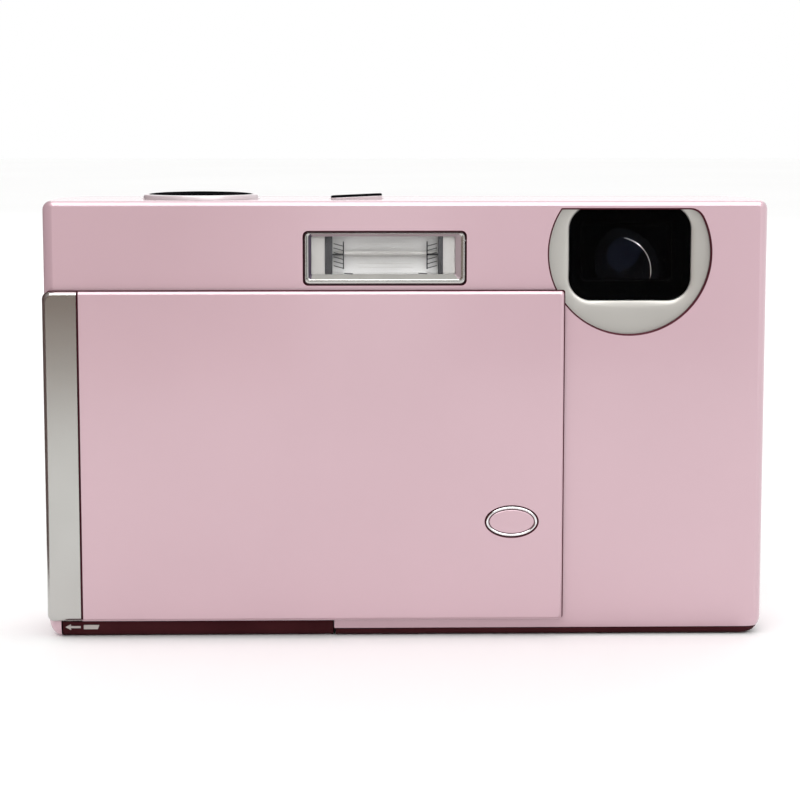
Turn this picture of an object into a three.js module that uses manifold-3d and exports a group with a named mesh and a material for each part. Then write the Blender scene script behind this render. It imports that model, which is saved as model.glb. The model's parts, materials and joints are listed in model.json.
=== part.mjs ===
// Pocket digital camera with a folded zoom lens and a lens cover that slides diagonally.
// Millimetres. +X is the camera's left-to-right seen from the front, -Y is the front, +Z is up.
// The origin is the centre of the base. The cover is open and the buttons are at rest.

import * as THREE from 'three';
import { mergeVertices } from 'three/addons/utils/BufferGeometryUtils.js';
import Module from 'manifold-3d';

// ---------------------------------------------------------------- driving dimensions

const BODY = { width: 92, height: 56, front: -9, back: 9, wall: 0.8, bevel: 0.8, corner: 1.4, rearRound: 6 };
const SEAM = 7.5;                 // rear edge of the front shell, where the rear cover starts
const GAP = 0.3;                  // gap between two solids that touch in the real camera
const CLEAR = 0.15;               // running clearance beside a moving piece

const COVER = { left: -46, seam: -41.55, right: 20.05, bottom: 2.2, top: 44.6, front: -10, back: -9.2 };
const COVER_SKIN = { thick: 0.5, rim: 0.55, bevel: 0.3 };
const COVER_TRAVEL = { x: 25.5, z: 10.8 };
const GUIDE_PINS = [{ name: 'guide_pin_lower', x: -18, z: 17 }, { name: 'guide_pin_upper', x: -10, z: 31 }];
const GUIDE_PIN = { radius: 1, front: -9.4, back: -7.2 };
const RETAINER = { margin: 2.2, front: -7.95, back: -7.5 };
const BADGE = { x: 13.5, z: 15.05, halfWidth: 3.3, halfHeight: 1.95, band: 0.35, front: -9.98, back: -9.7 };
const BADGE_GAP = 0.06;

const PORTHOLE = { x: 28.41, z: 49.31, radius: 10.3, flat: 54.85 };
const BEZEL = { lap: 0.4, front: -8.1, back: -7.4, windowTop: 53.9 };
const WINDOW = { left: 20.77, right: 36.27, bottom: 43.25, top: 53.8, corner: 3, front: -8.05, back: -7.45 };
const MASK = { left: 19.4, right: 37.6, bottom: 42, top: 54.8, corner: 3, front: -7.3, back: -7, hole: 5.4 };
const OPTICAL_AXIS = { x: 27.1, y: -1.4, z: 47 };
const BARREL = { left: 18.4, right: 39.4, front: -6.8, back: 3.9, bottom: 3.6, top: 54.8 };
const BARREL_WALL = 1;
const BARREL_MOUTH = 5.45;
const OBJECTIVE = { radius: 5.25, front: -6.7, back: -5.95 };
const PRISM = { half: 5.3, side: 8.2 };
const GUIDE_RODS = [
  { name: 'lens_guide_rod_1', x: 20.7, y: 1.5 },
  { name: 'lens_guide_rod_2', x: 36.6, y: -4.2 },
];
const GUIDE_ROD = { radius: 0.6, bottom: 5, top: 42 };
const CARRIAGE = { left: 19.7, right: 38.1, front: -5.4, back: 2.5 };
const LENS_GROUPS = [
  { name: 'zoom', bottom: 28, top: 31.5, bore: 3.6, radius: 3.45, glassBottom: 28.7, glassTop: 30.8 },
  { name: 'focus', bottom: 14, top: 16.5, bore: 3.1, radius: 2.95, glassBottom: 14.5, glassTop: 16 },
];
const SENSOR = { left: 21.5, right: 32.7, front: -5.4, back: 2.5, bottom: 5, top: 6.6 };
const MOTORS = [
  { name: 'zoom_motor', x: 42.4, y: -3.4, radius: 2.4, bottom: 26, top: 38 },
  { name: 'focus_motor', x: 42.4, y: -6.3, radius: 1.6, bottom: 6, top: 18 },
];

const FLASH = { left: -12.92, right: 7.51, bottom: 45.43, top: 52.03, band: 0.65, front: -9.05, deep: 0.8 };
const FLASH_LENS = { front: -8.9, back: -8.3, gap: 0.1 };
const REFLECTOR = { inset: 1, front: -8, back: -4.4, half: 2.6, bowl: 2.3, bowlY: -7.4, cheek: 0.8 };
const FLASH_TUBE = { radius: 0.7, inset: 2.2, y: -6.9 };
const CAPACITOR = { x: -6.5, y: -2.7, radius: 3.3, bottom: 12, top: 40 };

const DIAL = { x: -26.4, y: -0.5, ring: 7.4, button: 4.7, top: 56.75, foot: 53.8, buttonFoot: 53.2 };
const POWER = { left: -9.6, right: -2.9, front: -1.7, back: 1.5, top: 56.65, foot: 53.6, corner: 0.9 };
const SHUTTER_SWITCH = { half: 2.5, bottom: 50.9, top: 52.2 };
const BRACKET = { left: -36, right: -1.5, front: -3.8, back: 6.6, bottom: 50.1, top: 50.6 };

const DOOR = { left: -44.2, right: -9.4, lip: 2, back: 7.2, floor: 0.9, notch: 3.2, notchFront: 3.9 };
const CARRIAGE_BAR = { inset: 0.8, front: 4.2, back: 5.2, bottom: 2.1, top: 2.7 };
const CARRIAGE_EAR = { wide: 2, back: 6.8, bottom: 0.3 };
const LATCH = { left: -28, right: -22, front: -6.6, back: -4.4, bottom: 1.4, top: 3.1 };
const BASE_PLATE = { left: -9.05, top: 1 };
const DOOR_HINGE = { y: 6.2, z: 0.95, radius: 0.4, knuckle: 0.85 };

const BAY = { left: -43.4, right: -11.2, front: -6.7, back: 3.9, bottom: 3.4, top: 44.4, wall: 0.7 };
const BAY_POCKETS = { batteryBack: 0, batteryTop: 41.8, cardTop: 37.4 };
const BATTERY = { left: -42.4, right: -12.2, front: -5.7, back: -0.3, bottom: 3.9, top: 40 };
const CARD = { left: -40, right: -16, front: 1, back: 3.1, bottom: 4.5, top: 36 };

const DISPLAY = { left: -14.5, right: 39.8, bottom: 6, top: 50, corner: 1, front: 8.2, back: 8.9 };
const PANEL = { inset: 1, front: 5, back: 7.6 };
const PAD = { x: -30.5, z: 21, outer: 7, inner: 3, back: 10 };
const SMALL_BUTTONS = [
  { name: 'play_button', x: -37, z: 35 },
  { name: 'menu_button', x: -24, z: 35 },
  { name: 'display_button', x: -37, z: 8.5 },
  { name: 'delete_button', x: -24, z: 8.5 },
];
const SMALL_BUTTON_RADIUS = 2.1;
const BUTTON_FOOT = 6.6;
const BUTTON_BOARD = { left: -44, right: -17, front: 5, back: 5.5, bottom: 4, top: 40 };

const PORT = { front: -5.4, back: 3, bottom: 9, top: 21 };
const CONNECTOR = { left: 39.8, right: 44.7, front: -4.2, back: 2.1, bottom: 10.5, top: 19.5, wall: 1.4 };
const CHASSIS = { left: -44.4, right: 44.4, front: 4.2, back: 4.6, bottom: 3.1, top: 49.8 };
const CHASSIS_WINDOWS = [
  { left: -40, right: -20, bottom: 8, top: 36 },
  { left: -8, right: 14, bottom: 10, top: 40 },
  { left: 20, right: 38, bottom: 10, top: 40 },
];
const MAIN_BOARD = { left: -10.4, right: 17.6, front: 2.4, back: 3.4, bottom: 7, top: 44 };
const TRIPOD = { x: 5, y: -1, bore: 3.2, outer: 4.6, depth: 5.5 };
const STRAP = { front: -1.7, back: 2.9, bottom: 40.2, top: 46.8, deep: 1.9, bar: 0.6 };
const SCREWS = [
  { name: 'screw_base', at: [38.5, -1, 0], into: 'up' },
  { name: 'screw_left', at: [-46, 1.2, 22], into: 'right' },
  { name: 'screw_right', at: [46, 0, 44], into: 'left' },
];
const SCREW = { head: 1.3, shank: 0.7, headDepth: 0.45, length: 1.9, inset: 0.1 };
const OUT = 70;                   // beyond the whole camera, for cutting tools

// ---------------------------------------------------------------- materials

function material(color, roughness, metalness) {
  return new THREE.MeshStandardMaterial({ color, roughness, metalness });
}

const PINK = material(0xd2a4ac, 0.38, 0.75);
const SILVER = material(0xb2ada4, 0.34, 0.9);
const CHROME = material(0xd8d8d8, 0.12, 1);
const WINE = material(0x451c20, 0.3, 0);
const BLACK = material(0x161617, 0.45, 0);
const GREY = material(0x5b5b5d, 0.5, 0);
const STEEL = material(0x9a9c9f, 0.4, 0.95);
const GREEN = material(0x1d5a3a, 0.6, 0);
const GLASS = new THREE.MeshStandardMaterial({
  color: 0x8fa0a8, roughness: 0.05, metalness: 0, transparent: true, opacity: 0.35,
});

// ---------------------------------------------------------------- solids

const wasm = await Module();
wasm.setup();

function toSolid(source) {
  const geometry = source.clone();
  geometry.deleteAttribute('normal');
  geometry.deleteAttribute('uv');
  const merged = mergeVertices(geometry, 1e-4);
  const mesh = new wasm.Mesh({
    numProp: 3,
    vertProperties: new Float32Array(merged.attributes.position.array),
    triVerts: new Uint32Array(merged.index.array),
  });
  return new wasm.Manifold(mesh);
}

function toGeometry(solid) {
  const mesh = solid.getMesh();
  const geometry = new THREE.BufferGeometry();
  geometry.setAttribute('position', new THREE.BufferAttribute(new Float32Array(mesh.vertProperties), 3));
  geometry.setIndex(new THREE.BufferAttribute(new Uint32Array(mesh.triVerts), 1));
  return geometry;
}

function cut(geometry, ...tools) {
  let solid = toSolid(geometry);
  for (const tool of tools) solid = solid.subtract(toSolid(tool));
  return toGeometry(solid);
}

function join(geometry, ...others) {
  let solid = toSolid(geometry);
  for (const other of others) solid = solid.add(toSolid(other));
  return toGeometry(solid);
}

function overlap(geometry, other) {
  return toGeometry(toSolid(geometry).intersect(toSolid(other)));
}

function box(x0, x1, y0, y1, z0, z1) {
  const geometry = new THREE.BoxGeometry(x1 - x0, y1 - y0, z1 - z0);
  return geometry.translate((x0 + x1) / 2, (y0 + y1) / 2, (z0 + z1) / 2);
}

const boxOf = ({ left, right, front, back, bottom, top }) => box(left, right, front, back, bottom, top);

// A cylinder from `start` to `end` along 'x', 'y' or 'z'; u and v are its centre's other two coordinates.
function rod(axis, radius, start, end, u, v, segments = 24) {
  const geometry = new THREE.CylinderGeometry(radius, radius, end - start, segments);
  const middle = (start + end) / 2;
  if (axis === 'x') return geometry.rotateZ(Math.PI / 2).translate(middle, u, v);
  if (axis === 'y') return geometry.translate(u, middle, v);
  return geometry.rotateX(Math.PI / 2).translate(u, v, middle);
}

function roundedRect(a0, a1, b0, b1, radius) {
  const shape = new THREE.Shape();
  shape.absarc(a1 - radius, b0 + radius, radius, -Math.PI / 2, 0, false);
  shape.absarc(a1 - radius, b1 - radius, radius, 0, Math.PI / 2, false);
  shape.absarc(a0 + radius, b1 - radius, radius, Math.PI / 2, Math.PI, false);
  shape.absarc(a0 + radius, b0 + radius, radius, Math.PI, Math.PI * 1.5, false);
  shape.closePath();
  return shape;
}

// Extrusions of a flat outline. slabY takes an (x, z) outline, slabZ an (x, y) one, slabX a (y, z) one.
function slabY(shape, y0, y1, curveSegments = 5) {
  const geometry = new THREE.ExtrudeGeometry(shape, { depth: y1 - y0, bevelEnabled: false, curveSegments });
  return geometry.rotateX(Math.PI / 2).translate(0, y1, 0);
}

function slabZ(shape, z0, z1, curveSegments = 5) {
  const geometry = new THREE.ExtrudeGeometry(shape, { depth: z1 - z0, bevelEnabled: false, curveSegments });
  return geometry.translate(0, 0, z0);
}

function slabX(shape, x0, x1, curveSegments = 5) {
  const geometry = new THREE.ExtrudeGeometry(shape, { depth: x1 - x0, bevelEnabled: false, curveSegments });
  const turn = new THREE.Matrix4().makeBasis(
    new THREE.Vector3(0, 1, 0), new THREE.Vector3(0, 0, 1), new THREE.Vector3(1, 0, 0));
  return geometry.applyMatrix4(turn).translate(x0, 0, 0);
}

// A slab with rounded edges on both faces, bevelled inwards so that its outline is its full size.
function softSlabY(x0, x1, z0, z1, corner, y0, y1, bevel, bevelSegments = 2) {
  const shape = roundedRect(x0 + bevel, x1 - bevel, z0 + bevel, z1 - bevel, Math.max(corner - bevel, 0.1));
  const geometry = new THREE.ExtrudeGeometry(shape, {
    depth: y1 - y0 - 2 * bevel,
    bevelThickness: bevel,
    bevelSize: bevel,
    bevelSegments,
    curveSegments: 4,
  });
  return geometry.rotateX(Math.PI / 2).translate(0, y1 - bevel, 0);
}

// A solid of revolution about a vertical or a front-to-back axis, from (radius, height) points.
function turned(points, segments = 32) {
  return new THREE.LatheGeometry(points.map(([r, h]) => new THREE.Vector2(r, h)), segments);
}

const uprightAt = (geometry, x, y, z) => geometry.rotateX(Math.PI / 2).translate(x, y, z);

const camera = new THREE.Group();

function node(name, geometry, look) {
  const mesh = new THREE.Mesh(geometry, look);
  mesh.name = name;
  camera.add(mesh);
}

// ---------------------------------------------------------------- outer shells

const HALF = BODY.width / 2;
const INNER = {
  x: HALF - BODY.wall,
  front: BODY.front + BODY.wall,
  bottom: BODY.wall,
  top: BODY.height - BODY.wall,
};

// The porthole's outline, a circle cut flat just under the top edge.
function portholeShape(radius, flat) {
  const rise = flat - PORTHOLE.z;
  const half = Math.asin(rise / radius);
  const shape = new THREE.Shape();
  shape.absarc(PORTHOLE.x, PORTHOLE.z, radius, Math.PI - half, half + Math.PI * 2, false);
  shape.closePath();
  return shape;
}

// A stadium outline of a given radius round the path between two (x, z) points.
function stadium(from, to, radius) {
  const angle = Math.atan2(to.z - from.z, to.x - from.x);
  const shape = new THREE.Shape();
  shape.absarc(from.x, from.z, radius, angle + Math.PI / 2, angle + Math.PI * 1.5, false);
  shape.absarc(to.x, to.z, radius, angle - Math.PI / 2, angle + Math.PI / 2, false);
  shape.closePath();
  return shape;
}

// The slot that a guide pin runs along.
function pinSlot(pin) {
  const end = { x: pin.x + COVER_TRAVEL.x, z: pin.z + COVER_TRAVEL.z };
  return slabY(stadium(pin, end, GUIDE_PIN.radius + CLEAR), -OUT, INNER.front + 1, 6);
}

function screwTool(screw, inset, head, shank, headDepth, length) {
  const [x, y, z] = screw.at;
  const points = [[0, 0], [head, 0], [head, headDepth], [shank, headDepth], [shank, length], [0, length]];
  const geometry = turned(points, 16);
  if (screw.into === 'up') return geometry.rotateX(Math.PI / 2).translate(x, y, z + inset);
  if (screw.into === 'right') return geometry.rotateZ(-Math.PI / 2).translate(x + inset, y, z);
  return geometry.rotateZ(Math.PI / 2).translate(x - inset, y, z);
}

const screwHole = (screw) => screwTool(screw, -0.5, SCREW.head + CLEAR, SCREW.shank + CLEAR, 1.1, 3);

// The camera's outside: rounded at the front edges, and with large upright rounds at its two rear corners.
function bodyBlock() {
  const { front, back, height, corner, bevel, rearRound } = BODY;
  const frontToBack = softSlabY(-HALF, HALF, 0, height, corner, front, back, bevel, 3);
  return overlap(frontToBack, planSlab(HALF - bevel, back - bevel, rearRound - bevel, bevel, 0, height));
}

// A slab seen from above, with round rear corners and rounded top and bottom edges.
function planSlab(half, back, radius, bevel, bottom, top) {
  const shape = new THREE.Shape();
  shape.moveTo(-half, BODY.front * 2);
  shape.lineTo(half, BODY.front * 2);
  shape.absarc(half - radius, back - radius, radius, 0, Math.PI / 2, false);
  shape.absarc(radius - half, back - radius, radius, Math.PI / 2, Math.PI, false);
  shape.closePath();
  const geometry = new THREE.ExtrudeGeometry(shape, {
    depth: top - bottom - 2 * bevel,
    bevelThickness: bevel,
    bevelSize: bevel,
    bevelSegments: 3,
    curveSegments: 8,
  });
  return geometry.translate(0, 0, bottom + bevel);
}

function frontShell() {
  const fillet = 0.3;
  const inside = softSlabY(
    -INNER.x, INNER.x, INNER.bottom, INNER.top, BODY.wall, INNER.front, OUT, fillet, 1);
  const innerRound = BODY.rearRound - BODY.wall;
  const cavity = overlap(inside, planSlab(
    INNER.x - fillet, BODY.back - BODY.wall - fillet, innerRound - fillet, fillet, INNER.bottom, INNER.top));
  const flashHole = roundedRect(
    FLASH.left - CLEAR, FLASH.right + CLEAR, FLASH.bottom - CLEAR, FLASH.top + CLEAR, 0.6);
  const powerHole = roundedRect(
    POWER.left - CLEAR, POWER.right + CLEAR, POWER.front - CLEAR, POWER.back + CLEAR, POWER.corner + CLEAR);
  const tools = [
    box(-OUT, OUT, SEAM, OUT, -OUT, OUT),
    cavity,
    slabY(portholeShape(PORTHOLE.radius, PORTHOLE.flat), -OUT, INNER.front + 1, 14),
    slabY(flashHole, -OUT, INNER.front + 1),
    ...GUIDE_PINS.map(pinSlot),
    rod('z', DIAL.ring + 0.2, INNER.top - 1, OUT, DIAL.x, DIAL.y, 40),
    slabZ(powerHole, INNER.top - 1, OUT),
    box(DOOR.left - 0.2, DOOR.left + DOOR.notch, -OUT, DOOR.back - CLEAR, -2, DOOR.lip + CLEAR),
    box(DOOR.left + DOOR.notch - 0.2, DOOR.right + 0.2, -OUT, OUT, -2, DOOR.lip + CLEAR),
    box(BASE_PLATE.left - GAP, OUT, -OUT, OUT, -2, BASE_PLATE.top + 0.1),
    box(INNER.x - 1, OUT, PORT.front - GAP, PORT.back + 0.4, PORT.bottom - 0.2, PORT.top + 0.2),
    box(-OUT, -INNER.x + 1, STRAP.front - CLEAR, STRAP.back + CLEAR, STRAP.bottom - CLEAR, STRAP.top + CLEAR),
    ...SCREWS.filter((screw) => screw.into !== 'up').map(screwHole),
  ];
  return cut(bodyBlock(), ...tools);
}

// The plastic base beside the battery door, which closes the shell from below.
function basePlate() {
  return cut(
    bodyBlock(),
    box(-OUT, BASE_PLATE.left, -OUT, OUT, -OUT, OUT),
    box(-OUT, OUT, -OUT, OUT, BASE_PLATE.top, OUT),
    box(-OUT, OUT, SEAM, OUT, -OUT, OUT),
    rod('z', TRIPOD.outer + 0.2, -1, BASE_PLATE.top + 1, TRIPOD.x, TRIPOD.y, 32),
    screwHole(SCREWS[0]));
}

function rearCover() {
  const displayHole = roundedRect(
    DISPLAY.left - 0.2, DISPLAY.right + 0.2, DISPLAY.bottom - 0.2, DISPLAY.top + 0.2, DISPLAY.corner);
  return cut(
    bodyBlock(),
    box(-OUT, OUT, -OUT, SEAM + GAP, -OUT, OUT),
    slabY(displayHole, SEAM, OUT),
    rod('y', PAD.outer + 0.2, SEAM, OUT, PAD.x, PAD.z, 32),
    ...SMALL_BUTTONS.map((button) => rod('y', SMALL_BUTTON_RADIUS + 0.2, SEAM, OUT, button.x, button.z, 20)));
}

node('front_shell', frontShell(), PINK);
node('rear_cover', rearCover(), PINK);
node('base_plate', basePlate(), WINE);

// ---------------------------------------------------------------- lens porthole

const windowShape = (grow, top) => roundedRect(
  WINDOW.left - grow, WINDOW.right + grow, WINDOW.bottom - grow, top + grow, WINDOW.corner + grow);

function portholeBezel() {
  const outline = portholeShape(PORTHOLE.radius + BEZEL.lap, PORTHOLE.flat - 0.1);
  const window = slabY(windowShape(0.1, BEZEL.windowTop), -OUT, 0, 5);
  return cut(slabY(outline, BEZEL.front, BEZEL.back, 14), window);
}

function windowMask() {
  const { left, right, bottom, top, corner, front, back } = MASK;
  const plate = slabY(roundedRect(left, right, bottom, top, corner), front, back);
  return cut(plate, rod('y', MASK.hole, -OUT, 0, OPTICAL_AXIS.x, OPTICAL_AXIS.z, 24));
}

node('porthole_bezel', portholeBezel(), SILVER);
node('lens_window', slabY(windowShape(0, WINDOW.top), WINDOW.front, WINDOW.back, 5), GLASS);
node('window_mask', windowMask(), BLACK);

// ---------------------------------------------------------------- folded lens

function lensBarrel() {
  const { left, right, front, back, bottom, top } = BARREL;
  const wall = BARREL_WALL;
  const hollow = box(left + wall, right - wall, front + wall, back - wall, bottom + wall, top - wall);
  const mouth = rod('y', BARREL_MOUTH, -OUT, front + wall + 1, OPTICAL_AXIS.x, OPTICAL_AXIS.z, 24);
  return cut(boxOf(BARREL), hollow, mouth);
}

// A right-angle prism that turns the light from the window down the barrel.
function prism() {
  const y = BARREL.front + BARREL_WALL + GAP;
  const z = OPTICAL_AXIS.z - PRISM.side / 2;
  const shape = new THREE.Shape();
  shape.moveTo(y, z);
  shape.lineTo(y + PRISM.side, z);
  shape.lineTo(y, z + PRISM.side);
  shape.closePath();
  return slabX(shape, OPTICAL_AXIS.x - PRISM.half, OPTICAL_AXIS.x + PRISM.half);
}

const axisRod = (radius, bottom, top) => rod('z', radius, bottom, top, OPTICAL_AXIS.x, OPTICAL_AXIS.y, 24);

function carriage({ bottom, top, bore }) {
  const block = boxOf({ ...CARRIAGE, bottom, top });
  const holes = GUIDE_RODS.map((guide) => rod(
    'z', GUIDE_ROD.radius + CLEAR, bottom - 1, top + 1, guide.x, guide.y, 16));
  return cut(block, ...holes, axisRod(bore, bottom - 1, top + 1));
}

node('lens_barrel', lensBarrel(), BLACK);
node('objective_lens', rod(
  'y', OBJECTIVE.radius, OBJECTIVE.front, OBJECTIVE.back, OPTICAL_AXIS.x, OPTICAL_AXIS.z, 24), GLASS);
node('prism', prism(), GLASS);
for (const guide of GUIDE_RODS) {
  node(guide.name, rod('z', GUIDE_ROD.radius, GUIDE_ROD.bottom, GUIDE_ROD.top, guide.x, guide.y, 12), STEEL);
}
for (const group of LENS_GROUPS) {
  node(`${group.name}_carriage`, carriage(group), BLACK);
  node(`${group.name}_lens`, axisRod(group.radius, group.glassBottom, group.glassTop), GLASS);
}
node('image_sensor', boxOf(SENSOR), GREY);
for (const motor of MOTORS) {
  node(motor.name, rod('z', motor.radius, motor.bottom, motor.top, motor.x, motor.y, 20), STEEL);
}

// ---------------------------------------------------------------- flash

const flashShape = (inset, corner) => roundedRect(
  FLASH.left + inset, FLASH.right - inset, FLASH.bottom + inset, FLASH.top - inset, corner);

function flashFrame() {
  const outer = slabY(flashShape(0, 0.5), FLASH.front, FLASH.front + FLASH.deep, 3);
  return cut(outer, slabY(flashShape(FLASH.band, 0.35), -OUT, 0, 3));
}

const FLASH_MIDDLE = (FLASH.bottom + FLASH.top) / 2;

function flashReflector() {
  const { inset, front, back, half, bowl, bowlY, cheek } = REFLECTOR;
  const left = FLASH.left + inset;
  const right = FLASH.right - inset;
  const block = box(left, right, front, back, FLASH_MIDDLE - half, FLASH_MIDDLE + half);
  return cut(block, rod('x', bowl, left + cheek, right - cheek, bowlY, FLASH_MIDDLE, 20));
}

function flashTube() {
  const { radius, inset, y } = FLASH_TUBE;
  return rod('x', radius, FLASH.left + inset, FLASH.right - inset, y, FLASH_MIDDLE, 12);
}

node('flash_frame', flashFrame(), CHROME);
node('flash_lens', slabY(
  flashShape(FLASH.band + FLASH_LENS.gap, 0.3), FLASH_LENS.front, FLASH_LENS.back, 3), GLASS);
node('flash_reflector', flashReflector(), CHROME);
node('flash_tube', flashTube(), GLASS);
node('flash_capacitor', rod(
  'z', CAPACITOR.radius, CAPACITOR.bottom, CAPACITOR.top, CAPACITOR.x, CAPACITOR.y, 24), BLACK);

// ---------------------------------------------------------------- sliding lens cover

// The part of the carrier that joins the skin to the end trim across their seam.
function carrierBridge(grow) {
  const { seam, front, back } = COVER;
  return box(seam - 1, seam + 2, front + COVER_SKIN.rim - grow, back + grow, 20 - grow, 26 + grow);
}

const behindCover = () => box(-OUT, OUT, COVER.back, OUT, -OUT, OUT);

function coverPlate() {
  const { seam, right, bottom, top, front, back } = COVER;
  const { thick, rim, bevel } = COVER_SKIN;
  const deep = softSlabY(seam + CLEAR, right, bottom, top, 0.4, front, back + 1, bevel);
  const pocket = box(seam + CLEAR + rim, right - rim, front + thick, OUT, bottom + rim, top - rim);
  return cut(deep, behindCover(), pocket, carrierBridge(0.1));
}

function coverEndTrim() {
  const { left, seam, bottom, top, front, back } = COVER;
  const { thick, rim, bevel } = COVER_SKIN;
  const deep = softSlabY(left, seam - CLEAR, bottom, top, 0.7, front, back + 1, bevel);
  return cut(deep, behindCover(), box(left + rim, seam, front + thick, OUT, bottom + rim, top - rim));
}

const pinHoles = () => GUIDE_PINS.map((pin) => rod('y', GUIDE_PIN.radius + 0.05, -OUT, 0, pin.x, pin.z, 24));

// The steel plate behind the cover's skin and end trim, which the guide pins are riveted to.
function coverCarrier() {
  const { left, seam, right, bottom, top, front, back } = COVER;
  const inset = COVER_SKIN.rim + CLEAR;
  const plate = box(left + inset, right - inset, front + COVER_SKIN.rim, back, bottom + inset, top - inset);
  const seamRibs = box(seam - GAP, seam + CLEAR + inset, -OUT, 0, 0, OUT);
  return cut(join(cut(plate, seamRibs), carrierBridge(0)), ...pinHoles());
}

function coverRetainer() {
  const [lower, upper] = GUIDE_PINS;
  return cut(slabY(stadium(lower, upper, RETAINER.margin), RETAINER.front, RETAINER.back, 6), ...pinHoles());
}

const badgeOval = (grow) => new THREE.Shape().absellipse(
  BADGE.x, BADGE.z, BADGE.halfWidth + grow, BADGE.halfHeight + grow, 0, Math.PI * 2, false);

// The cover's badge, a plain oval ring let into a groove.
const coverBadge = () => cut(
  slabY(badgeOval(0), BADGE.front, BADGE.back, 14), slabY(badgeOval(-BADGE.band), -OUT, 0, 14));

function badgeGroove() {
  const outside = slabY(badgeOval(BADGE_GAP), -OUT, BADGE.back + BADGE_GAP, 14);
  return cut(outside, slabY(badgeOval(-BADGE.band - BADGE_GAP), -OUT, 0, 14));
}

node('cover_plate', cut(coverPlate(), badgeGroove()), PINK);
node('cover_end_trim', coverEndTrim(), SILVER);
node('cover_badge', coverBadge(), CHROME);
node('cover_carrier', coverCarrier(), STEEL);
for (const pin of GUIDE_PINS) {
  node(pin.name, rod('y', GUIDE_PIN.radius, GUIDE_PIN.front, GUIDE_PIN.back, pin.x, pin.z, 24), STEEL);
}
node('cover_retainer', coverRetainer(), STEEL);

// ---------------------------------------------------------------- top controls

function zoomRing() {
  const { ring, button, top, foot } = DIAL;
  const inner = button + 0.2;
  const points = [
    [inner, foot], [ring, foot], [ring, top - 0.45], [ring - 0.5, top - 0.1],
    [ring - 1.2, top], [inner + 0.5, top - 0.1], [inner, top - 0.3], [inner, foot],
  ];
  return uprightAt(turned(points, 40), DIAL.x, DIAL.y, 0);
}

function shutterButton() {
  const { button, top, buttonFoot } = DIAL;
  const points = [
    [0, buttonFoot], [button, buttonFoot], [button, top - 0.3], [button - 0.4, top],
    [button * 0.5, top + 0.12], [0, top + 0.15],
  ];
  return uprightAt(turned(points, 32), DIAL.x, DIAL.y, 0);
}

function powerButton() {
  const { left, right, front, back, top, foot, corner } = POWER;
  return slabZ(roundedRect(left, right, front, back, corner), foot, top, 3);
}

function shutterSwitch() {
  const { half, bottom, top } = SHUTTER_SWITCH;
  return box(DIAL.x - half, DIAL.x + half, DIAL.y - half, DIAL.y + half, bottom, top);
}

node('zoom_ring', zoomRing(), GREY);
node('shutter_button', shutterButton(), SILVER);
node('power_button', powerButton(), GREY);
node('shutter_switch', shutterSwitch(), BLACK);
node('top_bracket', boxOf(BRACKET), STEEL);

// ---------------------------------------------------------------- rear controls and display

function displayWindow() {
  const { left, right, bottom, top, corner, front, back } = DISPLAY;
  return slabY(roundedRect(left, right, bottom, top, corner), front, back, 3);
}

function displayPanel() {
  const { inset, front, back } = PANEL;
  return box(
    DISPLAY.left + inset, DISPLAY.right - inset, front, back, DISPLAY.bottom + inset, DISPLAY.top - inset);
}

function fourWayPad() {
  const { outer, inner, back, x, z } = PAD;
  const hole = inner + 0.2;
  const points = [
    [hole, BUTTON_FOOT], [outer, BUTTON_FOOT], [outer, back - 0.6], [outer - 0.5, back - 0.1],
    [outer - 1.2, back], [hole + 0.5, back - 0.25], [hole, back - 0.5], [hole, BUTTON_FOOT],
  ];
  return turned(points, 36).translate(x, 0, z);
}

function roundButton(radius, back, x, z) {
  const rim = 0.3;
  const points = [
    [0, BUTTON_FOOT], [radius, BUTTON_FOOT], [radius, back - rim], [radius - rim, back], [0, back],
  ];
  return turned(points, 20).translate(x, 0, z);
}

node('display_window', displayWindow(), GLASS);
node('display_panel', displayPanel(), BLACK);
node('button_board', boxOf(BUTTON_BOARD), GREEN);
node('four_way_pad', fourWayPad(), SILVER);
node('ok_button', roundButton(PAD.inner, PAD.back - 0.2, PAD.x, PAD.z), SILVER);
for (const button of SMALL_BUTTONS) {
  node(button.name, roundButton(SMALL_BUTTON_RADIUS, PAD.back - 0.5, button.x, button.z), SILVER);
}

// ---------------------------------------------------------------- battery, card and their door

function batteryBay() {
  const { left, right, front, bottom, wall } = BAY;
  const { batteryBack, batteryTop, cardTop } = BAY_POCKETS;
  const batteryPocket = box(left + wall, right - wall, front + wall, batteryBack, bottom - 1, batteryTop);
  const cardPocket = box(
    CARD.left - GAP, CARD.right + GAP, CARD.front - GAP, CARD.back + 0.2, bottom - 1, cardTop);
  return cut(boxOf(BAY), batteryPocket, cardPocket);
}

const hingeRod = (radius, left, right, segments = 16) => rod(
  'x', radius, left, right, DOOR_HINGE.y, DOOR_HINGE.z, segments);

// The door: a plate under the camera with a lip at the front, and a hinge knuckle between two notches.
function batteryDoor() {
  const { left, right, lip, back, floor, notch, notchFront } = DOOR;
  const { front } = BODY;
  const radius = 1;
  const lipBack = front + 0.7;
  const shape = new THREE.Shape();
  shape.moveTo(front, lip);
  shape.absarc(front + radius, radius, radius, Math.PI, Math.PI * 1.5, false);
  shape.lineTo(back, 0);
  shape.lineTo(back, floor);
  shape.lineTo(lipBack, floor);
  shape.lineTo(lipBack, lip);
  shape.closePath();
  const knuckle = hingeRod(DOOR_HINGE.knuckle, left + notch + 0.2, right - notch - 0.2);
  return cut(
    join(slabX(shape, left, right, 4), knuckle),
    hingeRod(DOOR_HINGE.radius + 0.1, -OUT, OUT),
    box(left - 1, left + notch, notchFront, OUT, -1, OUT),
    box(right - notch, right + 1, notchFront, OUT, -1, OUT));
}

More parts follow.
